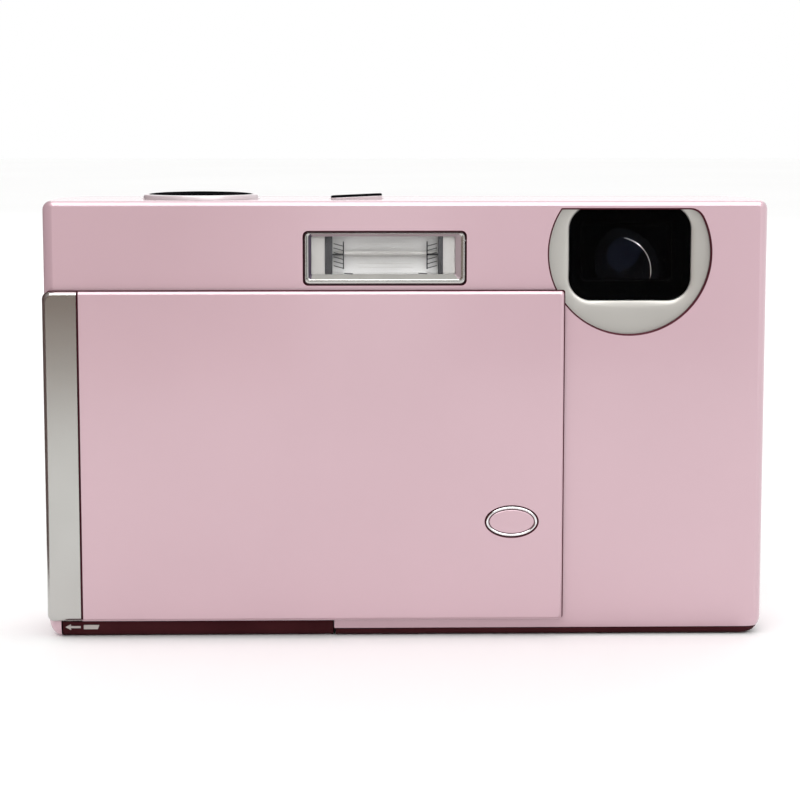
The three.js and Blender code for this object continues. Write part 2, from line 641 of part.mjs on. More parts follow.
// The sliding bar that carries the hinge pin in two ears.
function doorCarriage() {
  const { inset, front, back, bottom, top } = CARRIAGE_BAR;
  const { wide, back: earBack, bottom: earBottom } = CARRIAGE_EAR;
  const left = DOOR.left + inset;
  const right = DOOR.right - inset;
  const bar = box(left, right, front, back, bottom, top);
  const ears = [left, right - wide].map((x) => box(x, x + wide, front, earBack, earBottom, top));
  return cut(join(bar, ...ears), hingeRod(DOOR_HINGE.radius + 0.05, -OUT, OUT));
}

node('battery_bay', batteryBay(), BLACK);
node('battery', boxOf(BATTERY), GREY);
node('memory_card', boxOf(CARD), BLACK);
node('battery_latch', boxOf(LATCH), WINE);
node('battery_door', batteryDoor(), WINE);
node('door_carriage', doorCarriage(), STEEL);
node('door_hinge_pin', hingeRod(DOOR_HINGE.radius, DOOR.left + 0.9, DOOR.right - 0.9, 12), STEEL);

// ---------------------------------------------------------------- boards, chassis and sockets

function chassis() {
  const windows = CHASSIS_WINDOWS.map((window) => boxOf({ ...window, front: 0, back: BODY.back }));
  return cut(boxOf(CHASSIS), ...windows);
}

function tripodSocket() {
  const { x, y, bore, outer, depth } = TRIPOD;
  const points = [
    [bore, 0], [outer, 0], [outer, depth + 1], [0, depth + 1], [0, depth], [bore, depth], [bore, 0],
  ];
  return uprightAt(turned(points, 32), x, y, 0);
}

// The strap eyelet: a pocket in the side of the camera with a bar across it.
function strapAnchor() {
  const { front, back, bottom, top, deep, bar } = STRAP;
  const wall = 0.5;
  const block = box(-HALF, deep - HALF, front, back, bottom, top);
  const pocket = box(-OUT, deep - HALF - wall, front + wall, back - wall, bottom + 0.8, top - 0.8);
  const middle = (bottom + top) / 2;
  const across = box(0.1 - HALF, bar - HALF, front + 0.2, back - 0.2, middle - 0.4, middle + 0.4);
  return join(cut(block, pocket), across);
}

function portConnector() {
  const { left, front, back, bottom, top, wall } = CONNECTOR;
  return cut(boxOf(CONNECTOR), box(left + 1.7, OUT, front + wall, back - wall, bottom + 0.9, top - 0.9));
}

node('chassis', chassis(), STEEL);
node('main_board', boxOf(MAIN_BOARD), GREEN);
node('tripod_socket', tripodSocket(), STEEL);
node('strap_anchor', strapAnchor(), STEEL);
node('port_connector', portConnector(), STEEL);
node('port_door', box(INNER.x, HALF, PORT.front, PORT.back, PORT.bottom, PORT.top), PINK);
for (const screw of SCREWS) {
  const { inset, head, shank, headDepth, length } = SCREW;
  node(screw.name, screwTool(screw, inset, head, shank, headDepth, length), STEEL);
}

camera.name = 'pocket_camera';
export default camera;
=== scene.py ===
"""Looks of the pocket camera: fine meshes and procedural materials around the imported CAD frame."""

import json
import math

import bmesh
import bpy
from mathutils import Euler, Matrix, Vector


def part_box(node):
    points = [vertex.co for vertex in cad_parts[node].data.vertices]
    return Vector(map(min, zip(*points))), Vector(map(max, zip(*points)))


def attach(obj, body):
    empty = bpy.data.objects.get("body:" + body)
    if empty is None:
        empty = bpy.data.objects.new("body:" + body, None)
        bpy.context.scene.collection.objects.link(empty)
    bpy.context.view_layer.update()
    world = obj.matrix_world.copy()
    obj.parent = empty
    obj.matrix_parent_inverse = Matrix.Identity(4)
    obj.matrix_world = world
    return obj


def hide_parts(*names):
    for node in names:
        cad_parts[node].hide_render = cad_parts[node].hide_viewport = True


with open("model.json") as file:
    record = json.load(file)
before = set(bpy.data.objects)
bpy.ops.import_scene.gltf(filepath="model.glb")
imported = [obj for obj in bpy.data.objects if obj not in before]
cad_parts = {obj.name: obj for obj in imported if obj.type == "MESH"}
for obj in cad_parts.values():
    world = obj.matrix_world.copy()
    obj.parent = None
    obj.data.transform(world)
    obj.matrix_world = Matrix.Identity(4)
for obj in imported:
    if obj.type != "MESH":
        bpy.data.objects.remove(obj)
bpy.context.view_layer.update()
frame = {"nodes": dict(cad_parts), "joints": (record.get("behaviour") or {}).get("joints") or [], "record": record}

MM = 0.001


# ---------------- places, in millimetres, from the frame

class Span:
    """A CAD node's box in millimetres."""

    def __init__(self, node):
        low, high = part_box(node)
        self.x0, self.y0, self.z0 = (value / MM for value in low)
        self.x1, self.y1, self.z1 = (value / MM for value in high)
        self.xm = (self.x0 + self.x1) / 2
        self.ym = (self.y0 + self.y1) / 2
        self.zm = (self.z0 + self.z1) / 2
        self.x, self.y, self.z = (self.x0, self.x1), (self.y0, self.y1), (self.z0, self.z1)


SHELL = Span("front_shell")
REAR = Span("rear_cover")
BASE = Span("base_plate")
BEZEL = Span("porthole_bezel")
WINDOW = Span("lens_window")
OBJECTIVE = Span("objective_lens")
FLASH = Span("flash_frame")
COVER = Span("cover_plate")
TRIM = Span("cover_end_trim")
BADGE = Span("cover_badge")
RING = Span("zoom_ring")
SHUTTER = Span("shutter_button")
POWER = Span("power_button")
DOOR = Span("battery_door")
HINGE = Span("door_hinge_pin")
DISPLAY = Span("display_window")
PAD = Span("four_way_pad")
TRIPOD = Span("tripod_socket")
STRAP = Span("strap_anchor")
PORT = Span("port_door")

TOP = REAR.z1
WALL = 0.8
PORTHOLE_RADIUS = (BEZEL.x1 - BEZEL.x0) / 2 - 0.4
PORTHOLE_CENTRE = (BEZEL.xm, BEZEL.z0 + PORTHOLE_RADIUS + 0.4)
PORTHOLE_FLAT = BEZEL.z1 + 0.1
RING_RADIUS, RING_HOLE = 7.4, 7.58
SHUTTER_RADIUS = 4.7
PAD_HOLE = 7.18
OK_RADIUS = 2.95
KEY_RADIUS, KEY_HOLE = 2.1, 2.25
SCREW_HOLE = 1.42
SOCKET_HOLE = 4.7
WINDOW_TOP = TOP - 0.72
WINDOW_CORNER = 3.0
LENS_EYE = (OBJECTIVE.xm + 1.6, OBJECTIVE.zm + 1.3)
SEAM_LINE = (TRIM.x1 + COVER.x0) / 2
SEAM_HALF = 0.1
BADGE_HALF = ((BADGE.x1 - BADGE.x0) / 2, (BADGE.z1 - BADGE.z0) / 2)
SMALL_BUTTONS = ("play_button", "menu_button", "display_button", "delete_button")


# ---------------- node materials

NOISE_RANGE = (0.3, 0.7)


def new_material(name):
    material = bpy.data.materials.new(name)
    material.use_nodes = True
    nodes = material.node_tree.nodes
    nodes.clear()
    output = nodes.new("ShaderNodeOutputMaterial")
    shader = nodes.new("ShaderNodeBsdfPrincipled")
    material.node_tree.links.new(shader.outputs["BSDF"], output.inputs["Surface"])
    return material, nodes, material.node_tree.links, shader


def put(node, values):
    """Sets a node's inputs by name."""
    for name, value in values.items():
        node.inputs[name].default_value = value


def object_noise(nodes, links, scale, detail=3.0, stretch=None):
    """A noise texture in object space; stretch scales the three axes for a brushed grain."""
    place = nodes.new("ShaderNodeTexCoord")
    noise = nodes.new("ShaderNodeTexNoise")
    put(noise, {"Scale": scale, "Detail": detail})
    source = place.outputs["Object"]
    if stretch:
        mapping = nodes.new("ShaderNodeMapping")
        put(mapping, {"Scale": stretch})
        links.new(source, mapping.inputs["Vector"])
        source = mapping.outputs["Vector"]
    links.new(source, noise.inputs["Vector"])
    return noise


def vary(nodes, links, noise, low, high, target):
    """Drives a socket between two values, numbers or colours, from a noise texture."""
    if isinstance(low, tuple):
        ramp = nodes.new("ShaderNodeValToRGB")
        for element, position, colour in zip(ramp.color_ramp.elements, NOISE_RANGE, (low, high)):
            element.position = position
            element.color = (*colour, 1)
        links.new(noise.outputs["Fac"], ramp.inputs["Fac"])
        links.new(ramp.outputs["Color"], target)
        return
    spread = nodes.new("ShaderNodeMapRange")
    put(spread, {"From Min": NOISE_RANGE[0], "From Max": NOISE_RANGE[1], "To Min": low, "To Max": high})
    links.new(noise.outputs["Fac"], spread.inputs["Value"])
    links.new(spread.outputs["Result"], target)


def bump(nodes, links, noise, distance, shader):
    node = nodes.new("ShaderNodeBump")
    put(node, {"Strength": 0.5, "Distance": distance})
    links.new(noise.outputs["Fac"], node.inputs["Height"])
    links.new(node.outputs["Normal"], shader.inputs["Normal"])


def surface(name, dark, light, metallic, rough, blotch=60.0, grain=9000.0, depth=0.000004, stretch=None, coat=0.0,
            gloss=0.5):
    """An opaque finish: slow colour variation, and a fine grain in roughness and bump."""
    material, nodes, links, shader = new_material(name)
    put(shader, {"Metallic": metallic, "Specular IOR Level": gloss, "Coat Weight": coat, "Coat Roughness": 0.12})
    vary(nodes, links, object_noise(nodes, links, blotch, 2.0), dark, light, shader.inputs["Base Color"])
    fine = object_noise(nodes, links, grain, 2.0, stretch)
    vary(nodes, links, fine, rough[0], rough[1], shader.inputs["Roughness"])
    bump(nodes, links, fine, depth, shader)
    return material


def clear(name, tint, rough=0.02, ior=1.45, coat=0.0):
    """Clear glass or plastic, with a faint haze."""
    material, nodes, links, shader = new_material(name)
    put(shader, {"Base Color": (*tint, 1), "Transmission Weight": 1.0, "IOR": ior, "Coat Weight": coat})
    haze = object_noise(nodes, links, 400.0, 2.0)
    vary(nodes, links, haze, rough, rough + 0.03, shader.inputs["Roughness"])
    return material


PINK = surface("pink_anodised", (0.585, 0.398, 0.446), (0.610, 0.418, 0.468), 0.35, (0.34, 0.42), 40, coat=1)
# Painted shade: a near-black maroon laid on hole walls, grooves and gaps, standing in for the shade inside them.
EDGE_PAINTED_SHADE = surface("pink_edge_painted_shade", (0.055, 0.012, 0.018), (0.085, 0.018, 0.028), 0.1, (0.4, 0.5), 90, gloss=0.04)
SILVER = surface("silver_satin", (0.47, 0.465, 0.445), (0.52, 0.515, 0.495), 0.95, (0.17, 0.22), 70)
DISH = surface("dish_silver", (0.455, 0.44, 0.41), (0.49, 0.475, 0.445), 0.6, (0.3, 0.4), 90)
CHROME = surface("chrome_bright", (0.80, 0.80, 0.80), (0.86, 0.86, 0.86), 1, (0.08, 0.13), 120, depth=0.000001)
# Painted reflection and painted shade for the flash frame's inner bevel: one finish in three tones, laid on by which
# side a face is on.
BEVEL_PAINTED_REFLECTION = surface("flash_bevel_painted_reflection", (0.30, 0.235, 0.25), (0.34, 0.27, 0.285), 0.1, (0.3, 0.4), 200, gloss=0.3)
BEVEL_PAINTED_SHADE = surface("flash_bevel_painted_shade", (0.19, 0.185, 0.17), (0.24, 0.235, 0.215), 0.1, (0.3, 0.4), 200, gloss=0.3)
BEVEL_PAINTED_DARK_SHADE = surface("flash_bevel_painted_dark_shade", (0.055, 0.040, 0.062), (0.075, 0.055, 0.085), 0.1, (0.3, 0.4), 200, gloss=0.2)
# A dark wine colour that is partly painted shade: the base plate stands in for the shell's bottom round in contact
# shade, and the battery door shares it.
WINE_AND_PAINTED_SHADE = surface("wine_plastic", (0.040, 0.0085, 0.0105), (0.055, 0.012, 0.015), 0, (0.35, 0.45), 120, gloss=0.03)
BLACK = surface("black_plastic", (0.010, 0.010, 0.011), (0.016, 0.016, 0.017), 0, (0.42, 0.55), 200, 5000,
                0.00001, gloss=0.3)
PUPIL = surface("lens_pupil", (0.003, 0.0040, 0.008), (0.0045, 0.006, 0.011), 0, (0.05, 0.1), 300, gloss=0.02)
VOID = surface("window_black", (0.0005, 0.0005, 0.0007), (0.0010, 0.0010, 0.0013), 0, (0.6, 0.7), 200, gloss=0)
MATT_BLACK = surface("matt_black", (0.004, 0.004, 0.005), (0.007, 0.007, 0.008), 0, (0.55, 0.65), 200, 4000,
                     gloss=0)
RING_PAINT = surface("ring_pale", (0.66, 0.58, 0.60), (0.72, 0.64, 0.66), 0.2, (0.3, 0.4), 150, coat=0.5)
LENS_BLACK = surface("lens_black", (0.0008, 0.001, 0.0015), (0.0014, 0.0018, 0.003), 0, (0.04, 0.09), 300,
                     gloss=0.03)
GLOSS_BLACK = surface("black_gloss", (0.0012, 0.0012, 0.0015), (0.002, 0.002, 0.0025), 0, (0.25, 0.35), 200,
                      gloss=0.01)
GREY = surface("grey_plastic", (0.050, 0.050, 0.053), (0.070, 0.070, 0.073), 0.1, (0.38, 0.5), 200, 5000, 0.00001,
               gloss=0.3)
STEEL = surface("steel_brushed", (0.42, 0.42, 0.43), (0.52, 0.52, 0.53), 0.95, (0.26, 0.42), 90, 2500,
                stretch=(1, 1, 14))
BOARD = surface("circuit_board", (0.008, 0.10, 0.045), (0.012, 0.15, 0.07), 0.1, (0.35, 0.5), 350, 3000)
GOLD = surface("gold_contacts", (0.62, 0.42, 0.12), (0.72, 0.50, 0.17), 1, (0.22, 0.32), 200)
REFLECTOR = surface("flash_reflector_foil", (0.62, 0.62, 0.60), (0.68, 0.68, 0.66), 0.1, (0.30, 0.40), 100, 1200,
                    0.0000004, stretch=(0.2, 1, 4))
PALE = surface("pale_plastic", (0.55, 0.54, 0.51), (0.61, 0.60, 0.57), 0, (0.35, 0.5), 200)
PRINT = surface("printed_mark", (0.42, 0.38, 0.36), (0.50, 0.46, 0.43), 0, (0.45, 0.55), 400, gloss=0.2)
LABEL = surface("battery_wrap", (0.10, 0.11, 0.13), (0.14, 0.15, 0.17), 0, (0.35, 0.45), 150)
SCREEN = surface("display_cell", (0.012, 0.014, 0.020), (0.018, 0.021, 0.030), 0, (0.3, 0.4), 60,
                 depth=0.0000002, gloss=0.1)
GLASS = clear("window_glass", (0.97, 0.97, 0.98), 0.01, 1.18)
COATED = clear("coated_lens", (0.62, 0.68, 0.86), 0.01, 1.6, 0.4)
SMOKED = clear("display_glass", (0.30, 0.31, 0.33), 0.02, 1.5, 0.3)


# ---------------- mesh helpers

def mesh_piece(name, points, faces, material):
    """A mesh object from points in millimetres."""
    mesh = bpy.data.meshes.new(name)
    mesh.from_pydata([Vector(p) * MM for p in points], [], faces)
    mesh.materials.append(material)
    mesh.validate()
    piece = bpy.data.objects.new(name, mesh)
    bpy.context.scene.collection.objects.link(piece)
    return piece


def smooth(piece, angle=30.0):
    mesh = piece.data
    mesh.shade_smooth()
    mesh.set_sharp_from_angle(angle=math.radians(angle))
    return piece


def place(axis, a, b, depth):
    """A point of an outline (a, b) at a depth along an axis: y takes (x, z), z takes (x, y), x takes (y, z)."""
    return {"y": (a, depth, b), "z": (a, b, depth), "x": (depth, a, b)}[axis]


def loft(name, rings, material, closed=False):
    """Joins rings of equally many points; the ends are capped unless the rings close on themselves."""
    count = len(rings[0])
    points = [p for ring in rings for p in ring]
    faces = []
    steps = len(rings) if closed else len(rings) - 1
    for step in range(steps):
        low = step * count
        high = ((step + 1) % len(rings)) * count
        for i in range(count):
            j = (i + 1) % count
            faces.append((low + i, low + j, high + j, high + i))
    if not closed:
        faces.append(tuple(reversed(range(count))))
        faces.append(tuple(range(len(points) - count, len(points))))
    piece = mesh_piece(name, points, faces, material)
    bpy.context.view_layer.objects.active = piece
    face_outwards(piece)
    return piece


def face_outwards(piece):
    work = bmesh.new()
    work.from_mesh(piece.data)
    bmesh.ops.recalc_face_normals(work, faces=work.faces)
    work.to_mesh(piece.data)
    work.free()


def rounded(a0, a1, b0, b1, radii, steps=8):
    """A rectangle with rounded corners; four radii run low a low b, high a low b, high a high b, low a high b."""
    if not isinstance(radii, tuple):
        radii = (radii,) * 4
    corners = [(a0, b0, 1, 1, math.pi), (a1, b0, -1, 1, 1.5 * math.pi), (a1, b1, -1, -1, 0),
               (a0, b1, 1, -1, 0.5 * math.pi)]
    points = []
    for (a, b, da, db, start), radius in zip(corners, radii):
        for i in range(steps + 1):
            turn = start + 0.5 * math.pi * i / steps
            points.append((a + radius * (da + math.cos(turn)), b + radius * (db + math.sin(turn))))
    return points


def ellipse(a, b, half_a, half_b, count=48):
    return [(a + half_a * math.cos(t), b + half_b * math.sin(t))
            for t in (2 * math.pi * i / count for i in range(count))]


def cut_circle(a, b, radius, flat, count=72):
    """A circle whose top is cut flat at b = flat; the flat's far end is eased into the arc."""
    lift = math.asin(min((flat - b) / radius, 1.0))
    sweep = math.pi + 2 * lift
    start = math.pi - lift
    points = [(a + radius * math.cos(start + sweep * i / count), b + radius * math.sin(start + sweep * i / count))
              for i in range(count + 1)]
    before, corner, after = points[-3], points[-1], (points[-1][0] - 1.2, flat)
    turn = []
    for i in range(7):
        t = i / 6
        turn.append(tuple((1 - t) ** 2 * before[k] + 2 * t * (1 - t) * corner[k] + t * t * after[k] for k in (0, 1)))
    return points[:-3] + turn


def slab(name, outline, stations, material, axis="y"):
    """A solid from outline(inset), drawn at each (inset, depth) station."""
    rings = [[place(axis, a, b, depth) for a, b in outline(inset)] for inset, depth in stations]
    return loft(name, rings, material)


def flat(name, outline, near, far, material, axis="y"):
    """A solid with one outline from near to far."""
    return slab(name, lambda inset: outline, [(0, near), (0, far)], material, axis)


def soft_stations(near, far, radius, steps):
    """Stations of a slab whose near and far edges are rounded."""
    sign = 1 if far > near else -1
    arc = [0.5 * math.pi * i / steps for i in range(steps + 1)]
    stations = [(radius * (1 - math.sin(t)), near + sign * radius * (1 - math.cos(t))) for t in arc]
    stations += [(radius * (1 - math.cos(t)), far - sign * radius * (1 - math.sin(t))) for t in arc]
    return stations


def block(name, x, y, z, material, radius=0.15, corner=0.2):
    """A box with rounded edges, from (low, high) pairs."""
    def outline(inset):
        return rounded(x[0] + inset, x[1] - inset, z[0] + inset, z[1] - inset, max(corner - inset, 0.02), 3)
    return smooth(slab(name, outline, soft_stations(y[0], y[1], radius, 3), material))


def turned_rings(profile, centre, axis, count):
    """Circles round an axis; a radius of nothing becomes a hair's width, so that rings keep their points."""
    radii = [(max(radius, 0.01), height) for radius, height in profile]
    return [[place(axis, *point, height) for point in ellipse(*centre, radius, radius, count)]
            for radius, height in radii]


def turned(name, profile, centre, material, axis="z", count=64):
    """A solid of revolution from (radius, height) points round an axis through centre (a, b)."""
    return smooth(loft(name, turned_rings(profile, centre, axis, count), material))


def ring_of(name, profile, centre, material, axis="z", count=64):
    """A ring of revolution: the (radius, height) profile closes on itself."""
    return smooth(loft(name, turned_rings(profile, centre, axis, count), material, closed=True))


def applied(piece):
    """Applies a piece's modifiers to its mesh."""
    graph = bpy.context.evaluated_depsgraph_get()
    graph.update()
    mesh = bpy.data.meshes.new_from_object(piece.evaluated_get(graph))
    piece.modifiers.clear()
    piece.data = mesh
    return piece


def boolean(piece, operation, *tools):
    for tool in tools:
        change = piece.modifiers.new("cut", "BOOLEAN")
        change.operation = operation
        change.solver = "EXACT"
        change.material_mode = "TRANSFER"
        change.object = tool
    applied(piece)
    for tool in tools:
        bpy.data.objects.remove(tool)
    return piece


def cut(piece, *tools):
    return boolean(piece, "DIFFERENCE", *tools)


def cutter(outline, near, far, flare=0.12, material=EDGE_PAINTED_SHADE, axis="y"):
    """A cutting solid that widens by flare at its near end, which leaves a chamfer on the hole's edge; its material, by
    default a painted shade, goes onto the hole's walls.
    """
    sign = 1 if far > near else -1
    stations = [(-flare, near - sign), (-flare, near), (-flare * 0.3, near + sign * flare * 0.5),
                (0, near + sign * flare), (0, far)]
    return slab("cutter", outline, stations, material, axis)


def grown(pair, by):
    """A (low, high) pair made wider at both ends."""
    return pair[0] - by, pair[1] + by


def levels(start, *pairs):
    """(radius or inset, height) pairs whose heights count from a starting level."""
    return [(reach, start + height) for reach, height in pairs]


def round_shape(a, b, half_a, half_b=None, count=72):
    """An ellipse as an outline, which is a function of how far it stands in."""
    return lambda inset: ellipse(a, b, half_a - inset, (half_b or half_a) - inset, count)


def box_shape(a, b, corner, steps=8):
    """A rounded rectangle as an outline, from (low, high) pairs."""
    return lambda inset: rounded(a[0] + inset, a[1] - inset, b[0] + inset, b[1] - inset,
                                 corner - min(inset, 0.3), steps)


def round_hole(a, b, radius, near, far, flare=0.1, material=EDGE_PAINTED_SHADE, axis="y", count=72):
    """A cutter for a round hole with a chamfered edge."""
    return cutter(round_shape(a, b, radius, count=count), near, far, flare, material, axis)


def box_hole(a, b, corner, near, far, flare=0.1, material=EDGE_PAINTED_SHADE, axis="y"):
    """A cutter for a rounded rectangular hole with a chamfered edge, from (low, high) pairs."""
    return cutter(box_shape(a, b, corner), near, far, flare, material, axis)


def level_normals(piece):
    """Keeps the broad faces of a smooth piece flat in shading."""
    change = piece.modifiers.new("normals", "WEIGHTED_NORMAL")
    change.keep_sharp = True
    change.weight = 100
    return applied(piece)


def finish(piece, body, slot, *nodes, angle=None):
    """Shades a piece, smooth where its faces meet below the angle, hangs it on its body and hides the CAD nodes it
    stands for; the slot is not used.
    """
    if angle:
        smooth(piece, angle)
    level_normals(piece)
    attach(piece, body)
    if nodes:
        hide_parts(*nodes)
    return piece


def fixed(piece, slot, *nodes, angle=None):
    """Finishes a piece of the body that doesn't move."""
    return finish(piece, "camera_body", slot, *nodes, angle=angle)


# ---------------- outer shells

class EdgeArc:
    """A body edge whose round meets the face at a crease: how far it stands in at a given depth."""

    def __init__(self, inset, start=14.0):
        self.start = math.radians(start)
        self.radius = inset / (1 - math.sin(self.start))
        self.depth = self.radius * math.cos(self.start)

    def at(self, depth):
        if depth >= self.depth:
            return 0.0
        cosine = (self.depth - depth) / self.radius
        return self.radius * (1 - math.sqrt(max(1 - cosine * cosine, 0.0)))

    def depths(self, steps=8):
        turns = [self.start + (0.5 * math.pi - self.start) * i / steps for i in range(steps + 1)]
        return [self.depth - self.radius * math.cos(turn) for turn in turns]


BODY_CORNERS = (1.9, 2.4, 1.15, 1.2)
FRONT_ARCS = (EdgeArc(1.35), EdgeArc(1.1), EdgeArc(1.0), EdgeArc(0.66))
REAR_ARCS = (EdgeArc(6.0, 0), EdgeArc(6.0, 0), EdgeArc(0.8, 4), EdgeArc(0.8, 4))


def body_rings(front, back):
    """Rings of the camera's outside from one depth to another: each side stands in by its front or rear edge's arc."""
    depths = {SHELL.y0 + d for arc in FRONT_ARCS for d in arc.depths()}
    depths |= {REAR.y1 - d for arc in REAR_ARCS for d in arc.depths(12)}
    depths = sorted({round(d, 3) for d in depths if front < d < back} | {front, back})
    rings = []
    for depth in depths:
        ahead = [arc.at(depth - SHELL.y0) for arc in FRONT_ARCS]
        behind = [arc.at(REAR.y1 - depth) for arc in REAR_ARCS]
        left, right, base, top = (max(pair) for pair in zip(ahead, behind))
        trims = (max(ahead[0], base), max(ahead[1], base), max(ahead[1], top), max(ahead[0], top))
        radii = tuple(max(radius - 0.75 * trim, 0.25) for radius, trim in zip(BODY_CORNERS, trims))
        outline = rounded(SHELL.x0 + left, SHELL.x1 - right, REAR.z0 + base, TOP - top, radii, 7)
        rings.append([(x, depth, z) for x, z in outline])
    return rings


def porthole_outline(inset):
    x, z = PORTHOLE_CENTRE
    return cut_circle(x, z, PORTHOLE_RADIUS - inset, PORTHOLE_FLAT - inset)


def box_cutter(x0, x1, y0, y1, z0, z1, material=PINK):
    return flat("cutter", rounded(x0, x1, z0, z1, 0.05, 1), y0, y1, material)


def cross_screw(name, centre, axis, face, sign):
    """A pan head with a cross recess; face is where its head lies and sign the way it goes in."""
    heights = ((0, 1.8), (0.7, 1.8), (0.7, 0.5), (1.25, 0.45), (1.25, 0.2), (1.1, 0.08), (0, 0.05))
    head = turned(name, levels(face, *((radius, sign * height) for radius, height in heights)), centre, STEEL, axis, 32)
    arms = [slab("cutter", box_shape((centre[0] - a, centre[0] + a), (centre[1] - b, centre[1] + b), 0.04, 2),
                 [(0, face - sign), (0, face + sign * 0.35)], GREY, axis) for a, b in ((0.7, 0.14), (0.14, 0.7))]
    cut(head, *arms)
    return fixed(head, "steel", name, angle=30)


def front_shell():
    shell = loft("front_shell_fine", body_rings(SHELL.y0, SHELL.y1), PINK)
    hollow = flat("cutter", rounded(SHELL.x0 + WALL, SHELL.x1 - WALL, SHELL.y0 + WALL, REAR.y1 - WALL,
                                    (0.3, 0.3, 5.2, 5.2)), WALL, TOP - 0.65, BLACK, "z")
    front = SHELL.y0
    tools = [
        hollow,
        cutter(porthole_outline, front, front + 2, 0.2),
        box_hole(grown(FLASH.x, 0.08), grown(FLASH.z, 0.08), 0.6, front, front + 2),
        round_hole(RING.xm, RING.ym, RING_HOLE, TOP, TOP - 2, 0.1, PINK, "z"),
        box_hole(grown(POWER.x, 0.12), grown(POWER.y, 0.12), 0.95, TOP, TOP - 2, 0.1, PINK, "z"),
        box_cutter(*grown(DOOR.x, 0.15), -12, 9, -2, DOOR.z1 + 0.12, EDGE_PAINTED_SHADE),
        box_cutter(BASE.x0 - 0.3, 60, -12, 9, -2, BASE.z1 + 0.05, EDGE_PAINTED_SHADE),
        box_cutter(SHELL.x1 - 1.8, 50, PORT.y0 - 0.2, PORT.y1 + 0.35, *grown(PORT.z, 0.15), EDGE_PAINTED_SHADE),
        box_cutter(-50, SHELL.x0 + 1.8, *grown(STRAP.y, 0.1), *grown(STRAP.z, 0.1), EDGE_PAINTED_SHADE),
        guide_slot(Span("guide_pin_lower")),
        guide_slot(Span("guide_pin_upper")),
    ]
    for node, x in (("screw_left", SHELL.x0), ("screw_right", SHELL.x1)):
        screw = Span(node)
        sign = 1 if x < 0 else -1
        tools.append(round_hole(screw.ym, screw.zm, SCREW_HOLE, x, x + sign * 2, axis="x", count=32))
    cut(shell, *tools)
    return fixed(shell, "pink_aluminium", "front_shell", angle=13)


def guide_slot(pin):
    """A cutter along a guide pin's whole travel."""
    slide = next(joint for joint in frame["joints"] if joint["name"] == "cover_slide")
    travel = [value * slide["range_m"][1] / MM for value in slide["axis"]]
    angle = math.atan2(travel[2], travel[0])
    radius = (pin.x1 - pin.x0) / 2 + 0.15
    points = []
    for x, z, start in ((pin.xm, pin.zm, angle + math.pi / 2),
                        (pin.xm + travel[0], pin.zm + travel[2], angle - math.pi / 2)):
        turns = (start + math.pi * i / 10 for i in range(11))
        points += [(x + radius * math.cos(turn), z + radius * math.sin(turn)) for turn in turns]
    return flat("cutter", points, SHELL.y0 - 1, SHELL.y0 + 2, BLACK)


def rear_cover():
    cover = loft("rear_cover_fine", body_rings(REAR.y0, REAR.y1), PINK)
    back = REAR.y1
    tools = [box_hole(grown(DISPLAY.x, 0.1), grown(DISPLAY.z, 0.1), 1.2, back, back - 4, 0.12),
             round_hole(PAD.xm, PAD.zm, PAD_HOLE, back, back - 4, 0.12)]
    for node in SMALL_BUTTONS:
        button = Span(node)
        tools.append(round_hole(button.xm, button.zm, KEY_HOLE, back, back - 4, count=40))
    cut(cover, *tools)
    fixed(cover, "pink_aluminium", "rear_cover", angle=20)
    grip_dots(back)


def grip_dots(back):
    """Three rows of small raised dots where the thumb rests, above the buttons."""
    profile = levels(back, (0.5, -0.3), (0.5, 0.05), (0.42, 0.18), (0.25, 0.26), (0.0, 0.28))
    for row in range(3):
        for column in range(4):
            centre = (PAD.xm - 6 + column * 2.6 + (row % 2) * 1.3, 43 + row * 2.3)
            fixed(turned(f"grip_dot_{row}_{column}", profile, centre, PINK, "y", 20), "pink_aluminium")


def base_plate():
    # A dark band round the bottom: painted shade where the shell's bottom round lies in shadow.
    plate = loft("base_plate_fine", body_rings(SHELL.y0, BASE.y1), WINE_AND_PAINTED_SHADE)
    screw = Span("screw_base")
    cut(plate,
        box_cutter(-60, BASE.x0, -20, 20, -5, 70, WINE_AND_PAINTED_SHADE),
        box_cutter(-60, 60, -20, 20, BASE.z1 - 0.05, 70, WINE_AND_PAINTED_SHADE),
        round_hole(TRIPOD.xm, TRIPOD.ym, SOCKET_HOLE, 0, 3, 0.15, WINE_AND_PAINTED_SHADE, "z", 64),
        round_hole(screw.xm, screw.ym, SCREW_HOLE, 0, 3, 0.1, WINE_AND_PAINTED_SHADE, "z", 32))
    fixed(plate, "wine_plastic", "base_plate", angle=24)


# ---------------- porthole and lens

def ray_circle(centre, start, turn, radius, flat):
    """Distance from start in direction turn to the cut circle round centre."""
    dx, dz = math.cos(turn), math.sin(turn)
    px, pz = start[0] - centre[0], start[1] - centre[1]
    along = px * dx + pz * dz
    reach = -along + math.sqrt(max(along * along - (px * px + pz * pz) + radius * radius, 0.0))
    if dz > 0:
        reach = min(reach, (flat - start[1]) / dz)
    return reach


def ray_window(start, turn, left, right, low, high, corner):
    """Distance from start to a rounded rectangle, found by bisection."""
    dx, dz = math.cos(turn), math.sin(turn)

    def inside(reach):
        x, z = start[0] + reach * dx, start[1] + reach * dz
        cx = min(max(x, left + corner), right - corner)
        cz = min(max(z, low + corner), high - corner)
        return math.hypot(x - cx, z - cz) <= corner

    near, far = 0.0, 20.0
    for _ in range(40):
        middle = (near + far) / 2
        if inside(middle):
            near = middle
        else:
            far = middle
    return near


